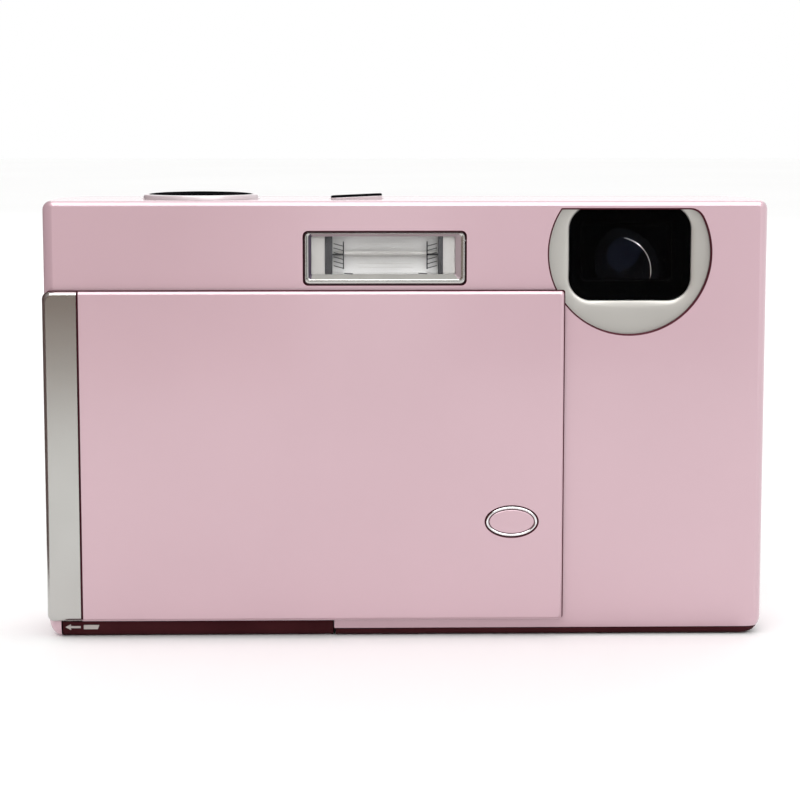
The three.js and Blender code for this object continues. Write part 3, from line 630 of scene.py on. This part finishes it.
def porthole_bezel():
    """The silver dish: it falls gently from the porthole's rim to the black window."""
    start = (WINDOW.xm, (WINDOW.z0 + WINDOW_TOP) / 2)
    count = 180
    turns = [2 * math.pi * i / count for i in range(count)]
    high = TOP - 0.7

    def ring(mix, depth):
        points = []
        for turn in turns:
            outer = ray_circle(PORTHOLE_CENTRE, start, turn, PORTHOLE_RADIUS + 0.35, high)
            inner = ray_window(start, turn, *grown(WINDOW.x, 0.05), WINDOW.z0 - 0.05, high - 0.02, WINDOW_CORNER)
            reach = inner + (max(outer, inner + 0.02) - inner) * mix
            points.append((start[0] + reach * math.cos(turn), depth, start[1] + reach * math.sin(turn)))
        return points

    front, back = BEZEL.y0, BEZEL.y1
    rings = [ring(1, back), ring(1, front), ring(0.9, front + 0.03), ring(0.75, front + 0.06), ring(0.5, front + 0.11),
             ring(0.25, front + 0.17), ring(0.06, front + 0.24), ring(0.0, front + 0.32), ring(0, back)]
    dish = loft("porthole_dish", rings, DISH, closed=True)
    fixed(dish, "satin_silver", "porthole_bezel", angle=40)


def lens_window():
    pane = slab("lens_window_fine", box_shape(WINDOW.x, (WINDOW.z0, WINDOW_TOP), WINDOW_CORNER, 12),
                soft_stations(BEZEL.y0 + 0.1, BEZEL.y1 - 0.05, 0.08, 3), GLASS)
    fixed(pane, "clear_glass", "lens_window", angle=30)


def window_mask():
    """The black frame behind the window, stepped down to the lens."""
    near = BEZEL.y1 + 0.1
    mask = slab("window_mask_fine", box_shape((19.4, 37.6), (42.2, TOP - 0.75), 3), [(0, near), (0, near + 0.3)], VOID)
    cut(mask, slab("cutter", lambda inset: rounded(22.2 + inset, 33.9 - inset, 45.7 + inset, 53.2 - inset, 0.6, 4),
                   [(0, near - 1), (0, near + 0.05), (0.5, near + 0.6)], GLOSS_BLACK))
    fixed(mask, "black_plastic", "window_mask", angle=30)
    baffle = flat("window_baffle", rounded(21.9, 34.2, 45.4, 53.5, 0.3, 3), near + 0.32, near + 0.42, VOID)
    cut(baffle, flat("cutter", ellipse(*LENS_EYE, 4.65, 4.65, 72), near, near + 1, VOID))
    fixed(baffle, "black_plastic")


def objective_lens():
    """A domed front element in a stepped black cell, with a painted glint along its edge at the upper right."""
    near = OBJECTIVE.y0
    dome = turned("objective_dome", levels(near, (0, 0.7), (4.6, 0.7), (4.6, 0.42), (3.6, 0.26), (2.7, 0.12),
                                           (1.6, 0.03), (0.8, 0), (0, 0)), LENS_EYE, LENS_BLACK, "y", 72)
    fixed(dome, "clear_glass", "objective_lens")
    cell = ring_of("objective_cell", levels(near, (4.62, 0.4), (4.62, 0.75), (6.2, 0.75), (6.2, 0.3)), LENS_EYE, VOID,
                   "y", 72)
    fixed(cell, "black_plastic")
    pupil = turned("lens_pupil", levels(near, (0, 0.3), (2.3, 0.3), (2.3, 0.06), (1.5, -0.02), (0.8, -0.06),
                                        (0, -0.07)), (LENS_EYE[0] - 0.7, LENS_EYE[1] + 0.7), PUPIL, "y", 64)
    fixed(pupil, "clear_glass")
    painted_lens_glint(near)


def painted_lens_glint(near):
    """A painted glint: a thin chrome arc with a thicker knot, laid along the front element's edge only where its
    highlight shows.
    """
    centre = (OBJECTIVE.xm + 0.05, OBJECTIVE.zm)
    rings = []
    steps = 48
    for i in range(steps + 1):
        share = i / steps
        turn = math.radians(-24 + 104 * share)
        knot = math.exp(-((share - 0.72) / 0.07) ** 2) + 0.6 * math.exp(-((share - 0.22) / 0.09) ** 2)
        thick = 0.008 + 0.02 * math.sin(math.pi * share) + 0.06 * knot
        ring = []
        for j in range(8):
            spin = 2 * math.pi * j / 8
            reach = 4.2 + thick * math.cos(spin)
            ring.append((centre[0] + reach * math.cos(turn), near + 0.02 + thick * math.sin(spin),
                         centre[1] + reach * math.sin(turn)))
        rings.append(ring)
    edge = loft("painted_lens_glint", rings, CHROME)
    fixed(edge, "clear_glass", angle=30)


# ---------------- flash

RIM_INSETS = (0.53, 0.56, 0.62, 0.24)
BEVEL_INSETS = (0.9, 1.26, 1.24, 0.56)


def flash_loop(insets, depth, corner):
    """A loop of the flash frame: insets from the left, right, base and top."""
    left, right, base, top = insets
    outline = rounded(FLASH.x0 + left, FLASH.x1 - right, FLASH.z0 + base, FLASH.z1 - top, corner, 8)
    return [(x, depth, z) for x, z in outline]


def flash_frame():
    """A polished rim, and inside it a bevel that is wider at the base and on the right; its top and right faces carry a
    painted reflection, its base a painted shade and its left a darker painted shade.
    """
    near = FLASH.y0
    loops = [((0, 0, 0, 0), near + 0.8, 0.62), ((0, 0, 0, 0), near + 0.2, 0.62),
             ((0.06, 0.06, 0.06, 0.1), near + 0.08, 0.58), ((0.16, 0.16, 0.18, 0.16), near, 0.5),
             ((0.4, 0.4, 0.5, 0.2), near, 0.42), (RIM_INSETS, near + 0.06, 0.38), (RIM_INSETS, near + 0.8, 0.38)]
    rim = loft("flash_frame_fine", [flash_loop(*loop) for loop in loops], SILVER, closed=True)
    fixed(rim, "chrome_trim", "flash_frame", angle=35)

    outer = (0.5, 0.53, 0.6, 0.22)
    loops = [(outer, near + 0.1, 0.38), (BEVEL_INSETS, near + 0.42, 0.12), (BEVEL_INSETS, near + 0.75, 0.12),
             (outer, near + 0.75, 0.38)]
    bevel = loft("flash_bevel", [flash_loop(*loop) for loop in loops], BEVEL_PAINTED_REFLECTION, closed=True)
    bevel.data.materials.append(BEVEL_PAINTED_SHADE)
    bevel.data.materials.append(BEVEL_PAINTED_DARK_SHADE)
    # Base faces take the grey painted shade, left faces the dark painted shade, the rest the mauve painted reflection.
    for face in bevel.data.polygons:
        x = (face.center.x / MM - FLASH.xm) / (FLASH.x1 - FLASH.x0)
        z = (face.center.z / MM - FLASH.zm) / (FLASH.z1 - FLASH.z0)
        if abs(z) > abs(x) and z < 0:
            face.material_index = 1
        elif abs(x) > abs(z) and x < 0:
            face.material_index = 2
    fixed(bevel, "chrome_trim", angle=35)


def flash_strut(name, start, end, width, depth, material=BLACK):
    """A thin flat strip between two (x, z) points."""
    length = math.hypot(end[0] - start[0], end[1] - start[1])
    ux, uz = (end[0] - start[0]) / length, (end[1] - start[1]) / length
    half = width / 2
    corners = [(start[0] - uz * half, start[1] + ux * half), (start[0] + uz * half, start[1] - ux * half),
               (end[0] + uz * half, end[1] - ux * half), (end[0] - uz * half, end[1] + ux * half)]
    return fixed(flat(name, corners, depth, depth + 0.12, material), "black_plastic")


def flash_clip(side, edge, toward, middle, depth):
    """The spring clip at one end of the tube: a post with slanted rungs, standing off the dark bar."""
    post = edge + toward * 1.4
    flash_strut(f"flash_post_{side}", (post, middle - 1.75), (post, middle + 1.75), 0.15, depth)
    flash_strut(f"flash_stay_{side}", (edge, middle + 0.1), (post, middle + 0.1), 0.24, depth)
    for i in range(6):
        low = middle - 1.65 + 0.56 * i
        flash_strut(f"flash_rung_{side}_{i}", (edge + toward * 0.15, low + 0.34), (post, low), 0.10, depth)


def flash_inside():
    """Clear front, a shallow bright reflector with its tube, two dark bars and two pale light guides."""
    near = FLASH.y0
    x0, x1 = FLASH.x0 + BEVEL_INSETS[0], FLASH.x1 - BEVEL_INSETS[1]
    z0, z1 = FLASH.z0 + BEVEL_INSETS[2], FLASH.z1 - BEVEL_INSETS[3]
    middle = (z0 + z1) / 2
    left, right = x0 + 2.68, x1 - 2.18
    pane = block("flash_lens_fine", (x0 - 0.2, x1 + 0.2), (near + 0.46, near + 0.6), (z0 - 0.2, z1 + 0.2), GLASS, 0.02)
    fixed(pane, "clear_glass", "flash_lens")

    half = (z1 - z0) / 2 + 0.15
    bowl = [(near + 0.95 + 0.9 * math.sin(math.pi * i / 14), middle - half * math.cos(math.pi * i / 14))
            for i in range(15)]
    outer = [(y + 0.15, middle + (z - middle) * 1.05) for y, z in reversed(bowl)]
    trough = loft("flash_reflector_fine", [[(x, y, z) for y, z in bowl + outer] for x in (left - 0.1, right + 0.1)],
                  REFLECTOR)
    fixed(trough, "chrome_trim", "flash_reflector", angle=40)

    tube = turned("flash_tube_fine", [(0.0, left), (0.2, left), (0.28, left + 0.2), (0.28, right - 0.2), (0.2, right),
                                      (0.0, right)], (near + 1.45, middle + 0.2), PALE, "x", 32)
    fixed(tube, "clear_glass", "flash_tube")
    for i, z in enumerate((-1.5, -1.05, -0.35, 0.5, 0.95, 1.4)):
        rib = block(f"flash_rib_{i}", (left + 3.3, right - 3.2), (near + 0.7, near + 0.74),
                    (middle + z - 0.035, middle + z + 0.035), PALE, 0.01, 0.02)
        fixed(rib, "clear_glass")

    tall = (z0 - 0.1, z1 + 0.1)
    for side, guide, bar in (("left", (x0, left - 0.96), (left - 0.96, left)),
                             ("right", (right + 0.62, x1), (right, right + 0.62))):
        fixed(block(f"flash_guide_{side}", guide, (near + 0.68, near + 1.5), tall, PALE, 0.05, 0.08), "black_plastic")
        fixed(block(f"flash_bar_{side}", bar, (near + 0.64, near + 1.8), tall, GREY, 0.05, 0.08), "black_plastic")
    flash_clip("left", left, 1, middle, near + 0.7)
    flash_clip("right", right, -1, middle, near + 0.7)
    for i, x in enumerate((left + 1.5, right - 2.5)):
        flash_strut(f"flash_foot_{i}", (x, z0 + 0.12), (x + 1.1, z0 + 0.05), 0.12, near + 0.7, GREY)


# ---------------- sliding cover

def cover_plate():
    front, back = COVER.y0, COVER.y1

    def outline(inset):
        return rounded(SEAM_LINE + SEAM_HALF + inset * 0.1, COVER.x1 - inset, COVER.z0 + inset, COVER.z1 - inset,
                       (0.06, 0.4, 0.4, 0.06), 6)
    plate = slab("cover_plate_fine", outline, levels(front, (0.42, 0), (0.30, 0.04), (0.16, 0.12), (0.05, 0.25),
                                                     (0, 0.42)) + [(0, back)], PINK)
    pocket = box_cutter(*grown(COVER.x, -0.5), front + 0.5, 3, *grown(COVER.z, -0.5), BLACK)
    half_a, half_b = BADGE_HALF
    groove = slab("cutter", round_shape(BADGE.xm, BADGE.zm, half_a + 0.08, half_b + 0.08),
                  levels(front, (-0.1, -1), (-0.1, 0), (0, 0.1), (0, 0.3)), EDGE_PAINTED_SHADE)
    island = slab("cutter", round_shape(BADGE.xm, BADGE.zm, half_a - 0.45, half_b - 0.45),
                  levels(front, (0, 0.45), (0, 0.03), (0.05, 0)), PINK)
    cut(plate, pocket, groove)
    boolean(plate, "UNION", island)
    finish(plate, "lens_cover", "pink_aluminium", "cover_plate", angle=22)
    cover_shadow_lines(front, back)


def cover_shadow_lines(front, back):
    """A painted shadow behind the cover: a dark lip that shows as a thin dark line round its top, right and base, and a
    dark strip in the seam.
    """
    peek = 0.13

    def outline(inset):
        return rounded(TRIM.x0 + 0.6, COVER.x1 + peek - inset, COVER.z0 + 0.2, COVER.z1 + peek - inset, 0.3, 4)
    lip = slab("cover_painted_shadow_lip", outline, [(0, back - 0.25), (0, back)], EDGE_PAINTED_SHADE)
    cut(lip, box_cutter(TRIM.x0 + 1.4, COVER.x1 - 0.4, back - 2, 3, COVER.z0 + 0.7, COVER.z1 - 0.4, EDGE_PAINTED_SHADE))
    finish(lip, "lens_cover", "pink_aluminium", angle=30)
    strip = block("cover_seam_painted_shade", (SEAM_LINE - 0.3, SEAM_LINE + 0.3), (front + 0.35, front + 0.5),
                  (COVER.z0 + 0.45, COVER.z1 - 0.35), EDGE_PAINTED_SHADE, 0.02, 0.05)
    finish(strip, "lens_cover", "pink_aluminium")


def cover_end_trim():
    front, back = TRIM.y0, TRIM.y1

    def outline(inset):
        return rounded(TRIM.x0 + inset, SEAM_LINE - SEAM_HALF - inset * 0.1, TRIM.z0 + inset, TRIM.z1 - inset,
                       (0.9, 0.06, 0.06, 0.95), 7)
    trim = slab("cover_end_trim_fine", outline, levels(front, (0.5, 0), (0.36, 0.05), (0.2, 0.15), (0.08, 0.32),
                                                       (0, 0.52)) + [(0, back)], SILVER)
    cut(trim, box_cutter(TRIM.x0 + 0.6, TRIM.x1 + 1, front + 0.5, 3, TRIM.z0 + 0.55, TRIM.z1 - 0.55, BLACK))
    finish(trim, "lens_cover", "satin_silver", "cover_end_trim", angle=22)


def cover_badge():
    shape = round_shape(BADGE.xm, BADGE.zm, BADGE_HALF[0], BADGE_HALF[1], 96)
    stations = levels(BADGE.y0, (0, 0.28), (0, 0.12), (0.05, 0.03), (0.13, 0), (0.22, 0), (0.3, 0.03), (0.35, 0.12),
                      (0.35, 0.28))
    badge = loft("cover_badge_fine", [[(x, depth, z) for x, z in shape(inset)] for inset, depth in stations], CHROME,
                 closed=True)
    finish(badge, "lens_cover", "chrome_trim", "cover_badge", angle=50)


# ---------------- top controls

def zoom_ring():
    """A pale ring with a knurled edge, and a low black crown that carries on over the shutter button."""
    radius, inner, top, count = RING_RADIUS, 4.9, RING.z1, 180

    def ring(r, height, knurl=0.0):
        points = []
        for i in range(count):
            turn = 2 * math.pi * i / count
            reach = r - knurl * (i % 2)
            points.append((RING.xm + reach * math.cos(turn), RING.ym + reach * math.sin(turn), height))
        return points
    foot = [(inner, RING.z0), (radius - 0.3, RING.z0), (radius, RING.z0 + 0.3), (radius, TOP + 0.05),
            (radius, TOP + 0.12, 0.06), (radius, top - 0.42, 0.06), (radius - 0.12, top - 0.22),
            (radius - 0.5, top - 0.14), (inner, top - 0.25)]
    finish(loft("zoom_ring_foot", [ring(*step) for step in foot], RING_PAINT, closed=True),
           "zoom_dial", "grey_plastic", "zoom_ring", angle=40)
    crown = levels(top, (inner, -0.4), (radius - 0.7, -0.4), (radius - 0.7, -0.15), (radius - 0.9, -0.09),
                   (radius - 1.5, -0.02), (inner + 0.4, 0.02), (inner + 0.08, -0.05), (inner, -0.2))
    finish(loft("zoom_ring_crown", [ring(*step) for step in crown], MATT_BLACK, closed=True),
           "zoom_dial", "grey_plastic", angle=40)


def shutter_button():
    radius, top = SHUTTER_RADIUS, SHUTTER.z1
    profile = [(0, SHUTTER.z0), (radius, SHUTTER.z0)]
    profile += levels(top, (radius, -0.32), (radius - 0.1, -0.18), (radius - 0.4, -0.1), (radius * 0.6, -0.04),
                      (radius * 0.3, -0.01), (0, 0))
    button = turned("shutter_button_fine", profile, (SHUTTER.xm, SHUTTER.ym), MATT_BLACK, "z", 96)
    finish(button, "shutter_key", "satin_silver", "shutter_button")


def power_button():
    """A small key whose top rises a little towards one end."""
    outline = box_shape(POWER.x, POWER.y, 0.9)

    def rising(*stations):
        rings = []
        for inset, depth in stations:
            slope = 0.3 / (POWER.x1 - POWER.x0) if depth > TOP else 0
            rings.append([(x, y, depth - slope * (POWER.x1 - x)) for x, y in outline(inset)])
        return rings
    seam = POWER.z1 - 0.24
    foot = loft("power_button_fine", rising((0, POWER.z0), (0, seam - 0.06), (0.06, seam)), RING_PAINT)
    finish(foot, "power_key", "grey_plastic", "power_button", angle=30)
    cap = loft("power_button_cap", rising((0.08, seam - 0.1), (0.04, seam + 0.02), (0.04, POWER.z1 - 0.1),
                                          (0.1, POWER.z1 - 0.03), (0.22, POWER.z1)), MATT_BLACK)
    finish(cap, "power_key", "grey_plastic", angle=30)


# ---------------- back

def display():
    pane = slab("display_window_fine", box_shape(DISPLAY.x, DISPLAY.z, 1.1),
                soft_stations(DISPLAY.y1, DISPLAY.y0, 0.15, 4), SMOKED)
    fixed(pane, "clear_glass", "display_window", angle=30)
    panel = Span("display_panel")
    surround = slab("display_surround", box_shape(grown(panel.x, 0.9), grown(panel.z, 0.9), 1, 6),
                    [(0, DISPLAY.y0 - 0.35), (0, DISPLAY.y0 - 0.05)], BLACK)
    cut(surround, box_cutter(*grown(panel.x, -2), 0, 20, *grown(panel.z, -1.6), BLACK))
    fixed(surround, "black_plastic", angle=30)
    fixed(block("display_panel_fine", panel.x, panel.y, panel.z, SCREEN, 0.2, 0.4), "black_plastic", "display_panel")


def four_way_pad():
    """A dished ring with four small marks."""
    inner, outer = 3.2, (PAD.x1 - PAD.x0) / 2
    back = PAD.y1
    profile = levels(back, (inner, -0.55), (inner + 0.15, -0.42), (inner + 0.8, -0.3), (4.9, -0.22),
                     (outer - 1.3, -0.03), (outer - 0.8, 0), (outer - 0.35, -0.12), (outer - 0.08, -0.35),
                     (outer, -0.7))
    profile = [(inner, PAD.y0), *profile, (outer, PAD.y0)]
    pad = ring_of("four_way_pad_fine", profile, (PAD.xm, PAD.zm), SILVER, "y", 120)
    finish(pad, "nav_pad", "satin_silver", "four_way_pad")
    for i in range(4):
        turn = math.pi / 2 * i
        tip, wide = 0.5, 0.55
        reach = 5.25
        corners = [(reach + tip, 0), (reach - tip * 0.5, wide), (reach - tip * 0.5, -wide)]
        outline = [(PAD.xm + a * math.cos(turn) - b * math.sin(turn), PAD.zm + a * math.sin(turn) + b * math.cos(turn))
                   for a, b in corners]
        finish(flat(f"pad_mark_{i}", outline, back - 0.35, back - 0.08, GREY), "nav_pad", "grey_plastic")


def rear_buttons():
    ok = Span("ok_button")
    profile = levels(ok.y1, (OK_RADIUS, -0.35), (2.8, -0.12), (2.4, -0.02), (1.6, -0.08), (0.8, -0.13), (0, -0.15))
    button = turned("ok_button_fine", [(0, ok.y0), (OK_RADIUS, ok.y0), *profile], (ok.xm, ok.zm), SILVER, "y", 72)
    finish(button, "ok_key", "satin_silver", "ok_button")
    bodies = ("play_key", "menu_key", "display_key", "delete_key")
    for node, body in zip(SMALL_BUTTONS, bodies):
        span = Span(node)
        profile = levels(span.y1, (KEY_RADIUS, -0.32), (1.98, -0.12), (1.7, -0.02), (1.1, 0), (0, 0))
        profile = [(0, span.y0), (KEY_RADIUS, span.y0), *profile]
        key = turned(f"{node}_fine", profile, (span.xm, span.zm), SILVER, "y", 56)
        finish(key, body, "satin_silver", node)
        rear_mark(node, body, span)


def rear_mark(node, body, span):
    """A small generic sign on a rear key: a triangle, three bars, a plate or one bar."""
    x, z, top = span.xm, span.zm, span.y1
    signs = {
        "play_button": [[(-0.7, 0), (0.45, 0.7), (0.45, -0.7)]],
        "menu_button": [[(-0.7, b), (0.7, b), (0.7, b + 0.2), (-0.7, b + 0.2)] for b in (-0.6, -0.1, 0.4)],
        "display_button": [[(-0.8, -0.55), (0.8, -0.55), (0.8, 0.55), (-0.8, 0.55)]],
        "delete_button": [[(-0.7, -0.1), (0.7, -0.1), (0.7, 0.1), (-0.7, 0.1)]],
    }
    for i, sign in enumerate(signs[node]):
        outline = [(x + a, z + b) for a, b in sign]
        finish(flat(f"{node}_mark_{i}", outline, top - 0.1, top + 0.03, GREY), body, "grey_plastic")


# ---------------- base, sides and the battery door

def battery_door():
    front, back, lip = DOOR.y0, DOOR.y1, DOOR.z1
    profile = [(front + 0.12, lip), (front + 0.18, lip - 0.5), (front + 0.38, 0.7), (front + 0.62, 0.3),
               (front + 1.0, 0.06), (front + 1.4, 0), (back - 0.3, 0), (back, 0.3), (back, 0.9), (front + 1.0, 0.9),
               (front + 0.85, 1.05), (front + 0.8, lip)]
    rings = [[(x, y, z) for y, z in profile] for x in (DOOR.x0, DOOR.x1)]
    # The door takes the dark wine colour, which is partly painted shade, like the base.
    panel = loft("battery_door_fine", rings, WINE_AND_PAINTED_SHADE)
    low, high = grown(DOOR.x, -3.4)
    knuckle = turned("knuckle", [(0, low), (0.85, low), (0.85, high), (0, high)], (HINGE.ym, HINGE.zm), WINE_AND_PAINTED_SHADE, "x", 32)
    boolean(panel, "UNION", knuckle)
    bore = flat("cutter", ellipse(HINGE.ym, HINGE.zm, 0.5, 0.5, 24), -60, 60, WINE_AND_PAINTED_SHADE, "x")
    left = box_cutter(DOOR.x0 - 1, DOOR.x0 + 3.2, 3.9, 10, -1, 5, WINE_AND_PAINTED_SHADE)
    right = box_cutter(DOOR.x1 - 3.2, DOOR.x1 + 1, 3.9, 10, -1, 5, WINE_AND_PAINTED_SHADE)
    cut(panel, bore, left, right)
    finish(panel, "door_panel", "wine_plastic", "battery_door", angle=28)
    door_arrow(front)


def door_arrow(front):
    """A small printed arrow and bar at the end of the door's lip, the usual sign for opening."""
    x = DOOR.x0 + 0.35
    shapes = [[(0, 0), (0.7, 0.38), (0.7, 0.14), (1.95, 0.14), (1.95, -0.14), (0.7, -0.14), (0.7, -0.38)],
              [(2.35, 0.28), (4.35, 0.28), (4.15, -0.28), (2.35, -0.28)]]
    for i, shape in enumerate(shapes):
        outline = [(x + a, DOOR.z1 - 0.7 + b) for a, b in shape]
        mark = flat(f"door_arrow_{i}", outline, front + 0.08, front + 0.4, PRINT)
        finish(mark, "door_panel", "wine_plastic")


def tripod_socket():
    """A turned steel nut with thread ridges."""
    profile = levels(TRIPOD.z0, (3.35, 0.05), (4.5, 0.05), (4.6, 0.15)) + [(4.6, TRIPOD.z1), (2.7, TRIPOD.z1)]
    pitch = 1.27 / 2
    for i in range(8):
        height = TRIPOD.z1 - 0.6 - i * pitch
        profile += [(3.2, height), (2.85, height - pitch / 2)]
    profile.append((3.2, TRIPOD.z0 + 0.5))
    nut = ring_of("tripod_socket_fine", profile, (TRIPOD.xm, TRIPOD.ym), STEEL, "z", 72)
    fixed(nut, "steel", "tripod_socket")
    floor_disc = turned("tripod_socket_end", levels(TRIPOD.z1, (0, -0.3), (2.9, -0.3), (2.9, 0), (0, 0)),
                        (TRIPOD.xm, TRIPOD.ym), BLACK, "z", 32)
    fixed(floor_disc, "steel")


def port_door():
    stations = soft_stations(PORT.x1, PORT.x0, 0.12, 3)
    door = slab("port_door_fine", box_shape(PORT.y, PORT.z, 0.6, 6), stations, PINK, "x")
    nail = flat("cutter", rounded(PORT.y0 + 0.6, PORT.y0 + 1.5, PORT.zm - 2.2, PORT.zm + 2.2, 0.4, 5),
                PORT.x1 + 1, PORT.x1 - 0.3, EDGE_PAINTED_SHADE, "x")
    cut(door, nail)
    finish(door, "port_cover", "pink_aluminium", "port_door", angle=30)


def inner_parts():
    """Carried-over CAD nodes, which show only when a door is open or through the glass."""
    looks = {
        "black_plastic": BLACK, "grey_plastic": GREY, "steel": STEEL, "circuit_board": BOARD, "clear_glass": COATED,
        "pink_aluminium": PINK, "satin_silver": SILVER, "chrome_trim": CHROME, "wine_plastic": WINE_AND_PAINTED_SHADE,
    }
    own = {"battery": LABEL, "memory_card": BLACK, "lens_barrel": VOID}
    slots = {part["node"]: part["material_slot"] for part in frame["record"]["subparts"]}
    for name, piece in frame["nodes"].items():
        piece.data.materials.clear()
        piece.data.materials.append(own.get(name, looks[slots[name]]))


def battery_details():
    """Contact pads on the battery's lower end."""
    battery = Span("battery")
    for i in range(3):
        x = battery.x0 + 5 + i * 3
        pad = block(f"battery_pad_{i}", (x, x + 1.8), (battery.ym - 1.5, battery.ym + 1.5),
                    (battery.z0 - 0.06, battery.z0 + 0.3), GOLD, 0.03, 0.1)
        fixed(pad, "steel")


# ---------------- studio

CAMERA_AT = (-6.98, -295.41, 65.63)
CAMERA_PITCH = 6.96
CAMERA_YAW = 1.24
LENS = 101.85
LAMP_TARGET = (0, 0, 0.03)
FRONT_CARDS_Y = -345
FLOOR_HALF = 4000


def camera():
    """The eye of the photo: a long lens a little above and left of the middle."""
    data = bpy.data.cameras.new("camera")
    data.lens = LENS
    data.sensor_width = 36
    data.clip_start = 0.01
    eye = bpy.data.objects.new("camera", data)
    eye.location = Vector(CAMERA_AT) * MM
    eye.rotation_euler = Euler((math.radians(90 - CAMERA_PITCH), 0, math.radians(-CAMERA_YAW)))
    bpy.context.scene.collection.objects.link(eye)
    bpy.context.scene.camera = eye


def area_light(name, at, size, power, gloss_only=False):
    """A rectangular lamp in metres, aimed at the middle of the object."""
    data = bpy.data.lights.new(name, "AREA")
    data.shape = "RECTANGLE"
    data.size, data.size_y = size
    data.energy = power
    lamp = bpy.data.objects.new(name, data)
    lamp.location = at
    aim = Vector(LAMP_TARGET) - Vector(at)
    lamp.rotation_euler = aim.to_track_quat("-Z", "Y").to_euler()
    lamp.visible_diffuse = not gloss_only
    bpy.context.scene.collection.objects.link(lamp)


def paper(name, colour):
    """A plain matt sheet."""
    material, nodes, links, shader = new_material(name)
    tone = tuple(value * 0.985 for value in colour)
    vary(nodes, links, object_noise(nodes, links, 3.0, 2.0), tone, colour, shader.inputs["Base Color"])
    put(shader, {"Roughness": 0.8, "Specular IOR Level": 0.1})
    return material


def stage_sheet(name, corners, material):
    sheet = mesh_piece(name, corners, [(0, 1, 2, 3)], material)
    return sheet


def hide_but_in_gloss(card):
    """Leaves a card visible only to reflections."""
    card.visible_camera = False
    card.visible_shadow = False
    card.visible_diffuse = False


def floor_card(name, x, y, material):
    """A card lying on the floor that only glossy surfaces see."""
    corners = [(x[0], y[0], 0.3), (x[1], y[0], 0.3), (x[1], y[1], 0.3), (x[0], y[1], 0.3)]
    hide_but_in_gloss(stage_sheet(name, corners, material))


def reflection_card(name, start, end, height, material):
    """An upright card between two (x, y) points that only glossy surfaces see."""
    low, high = height
    hide_but_in_gloss(stage_sheet(name, [(*start, low), (*end, low), (*end, high), (*start, high)], material))


def studio():
    """White floor and world, a soft key and back light, and cards that only the metal and the glass reflect."""
    floor = stage_sheet("floor", [(a * FLOOR_HALF, b * FLOOR_HALF, 0) for a, b in ((-1, -1), (1, -1), (1, 1), (-1, 1))],
                        paper("floor_paper", (0.985, 0.985, 0.98)))
    floor.location.z = -0.00002
    for name, low, high, colour in (("low", 0, 3, (0.45, 0.40, 0.33)), ("middle", 3, 8, (0.33, 0.24, 0.175)),
                                    ("high", 8, 330, (0.12, 0.058, 0.03))):
        reflection_card(f"card_left_{name}", (-420, FRONT_CARDS_Y), (-20, FRONT_CARDS_Y), (low, high),
                        paper(f"left_card_{name}", colour))
    reflection_card("card_right", (20, FRONT_CARDS_Y), (130, FRONT_CARDS_Y), (0, 90),
                    paper("black_card", (0.05, 0.045, 0.045)))
    reflection_card("card_front_side", (-80, -20), (-130, -200), (0, 200),
                    paper("front_side_card", (0.14, 0.085, 0.075)))
    reflection_card("card_side", (-75, -20), (-150, 250), (0, 200), paper("side_card", (0.10, 0.05, 0.05)))
    floor_card("card_low", (-44, 44), (-14.5, -10.5), paper("low_card", (0.10, 0.03, 0.04)))
    floor_card("card_far", (-420, -20), (FRONT_CARDS_Y, -290), paper("far_card", (0.36, 0.28, 0.21)))
    area_light("overhead", (0, -0.56, 0.90), (1.8, 1.4), 26.0, gloss_only=True)
    area_light("key", (-0.30, -0.75, 0.75), (0.7, 0.5), 1.6)
    area_light("back", (0.20, 0.80, 0.70), (0.9, 0.6), 2.0)
    world = bpy.data.worlds.new("studio")
    bpy.context.scene.world = world
    world.use_nodes = True
    put(world.node_tree.nodes["Background"], {"Color": (1, 1, 1, 1), "Strength": 1.0})
    bpy.context.scene.view_settings.view_transform = "Standard"


# ---------------- build

camera()
inner_parts()
front_shell()
rear_cover()
base_plate()
porthole_bezel()
lens_window()
window_mask()
objective_lens()
flash_frame()
flash_inside()
cover_plate()
cover_end_trim()
cover_badge()
zoom_ring()
shutter_button()
power_button()
display()
four_way_pad()
rear_buttons()
battery_door()
battery_details()
tripod_socket()
port_door()
for screw_name, face, direction in (("screw_left", SHELL.x0 + 0.1, 1), ("screw_right", SHELL.x1 - 0.1, -1)):
    place_of = Span(screw_name)
    cross_screw(screw_name, (place_of.ym, place_of.zm), "x", face, direction)
base_screw = Span("screw_base")
cross_screw("screw_base", (base_screw.xm, base_screw.ym), "z", 0.1, 1)
studio()
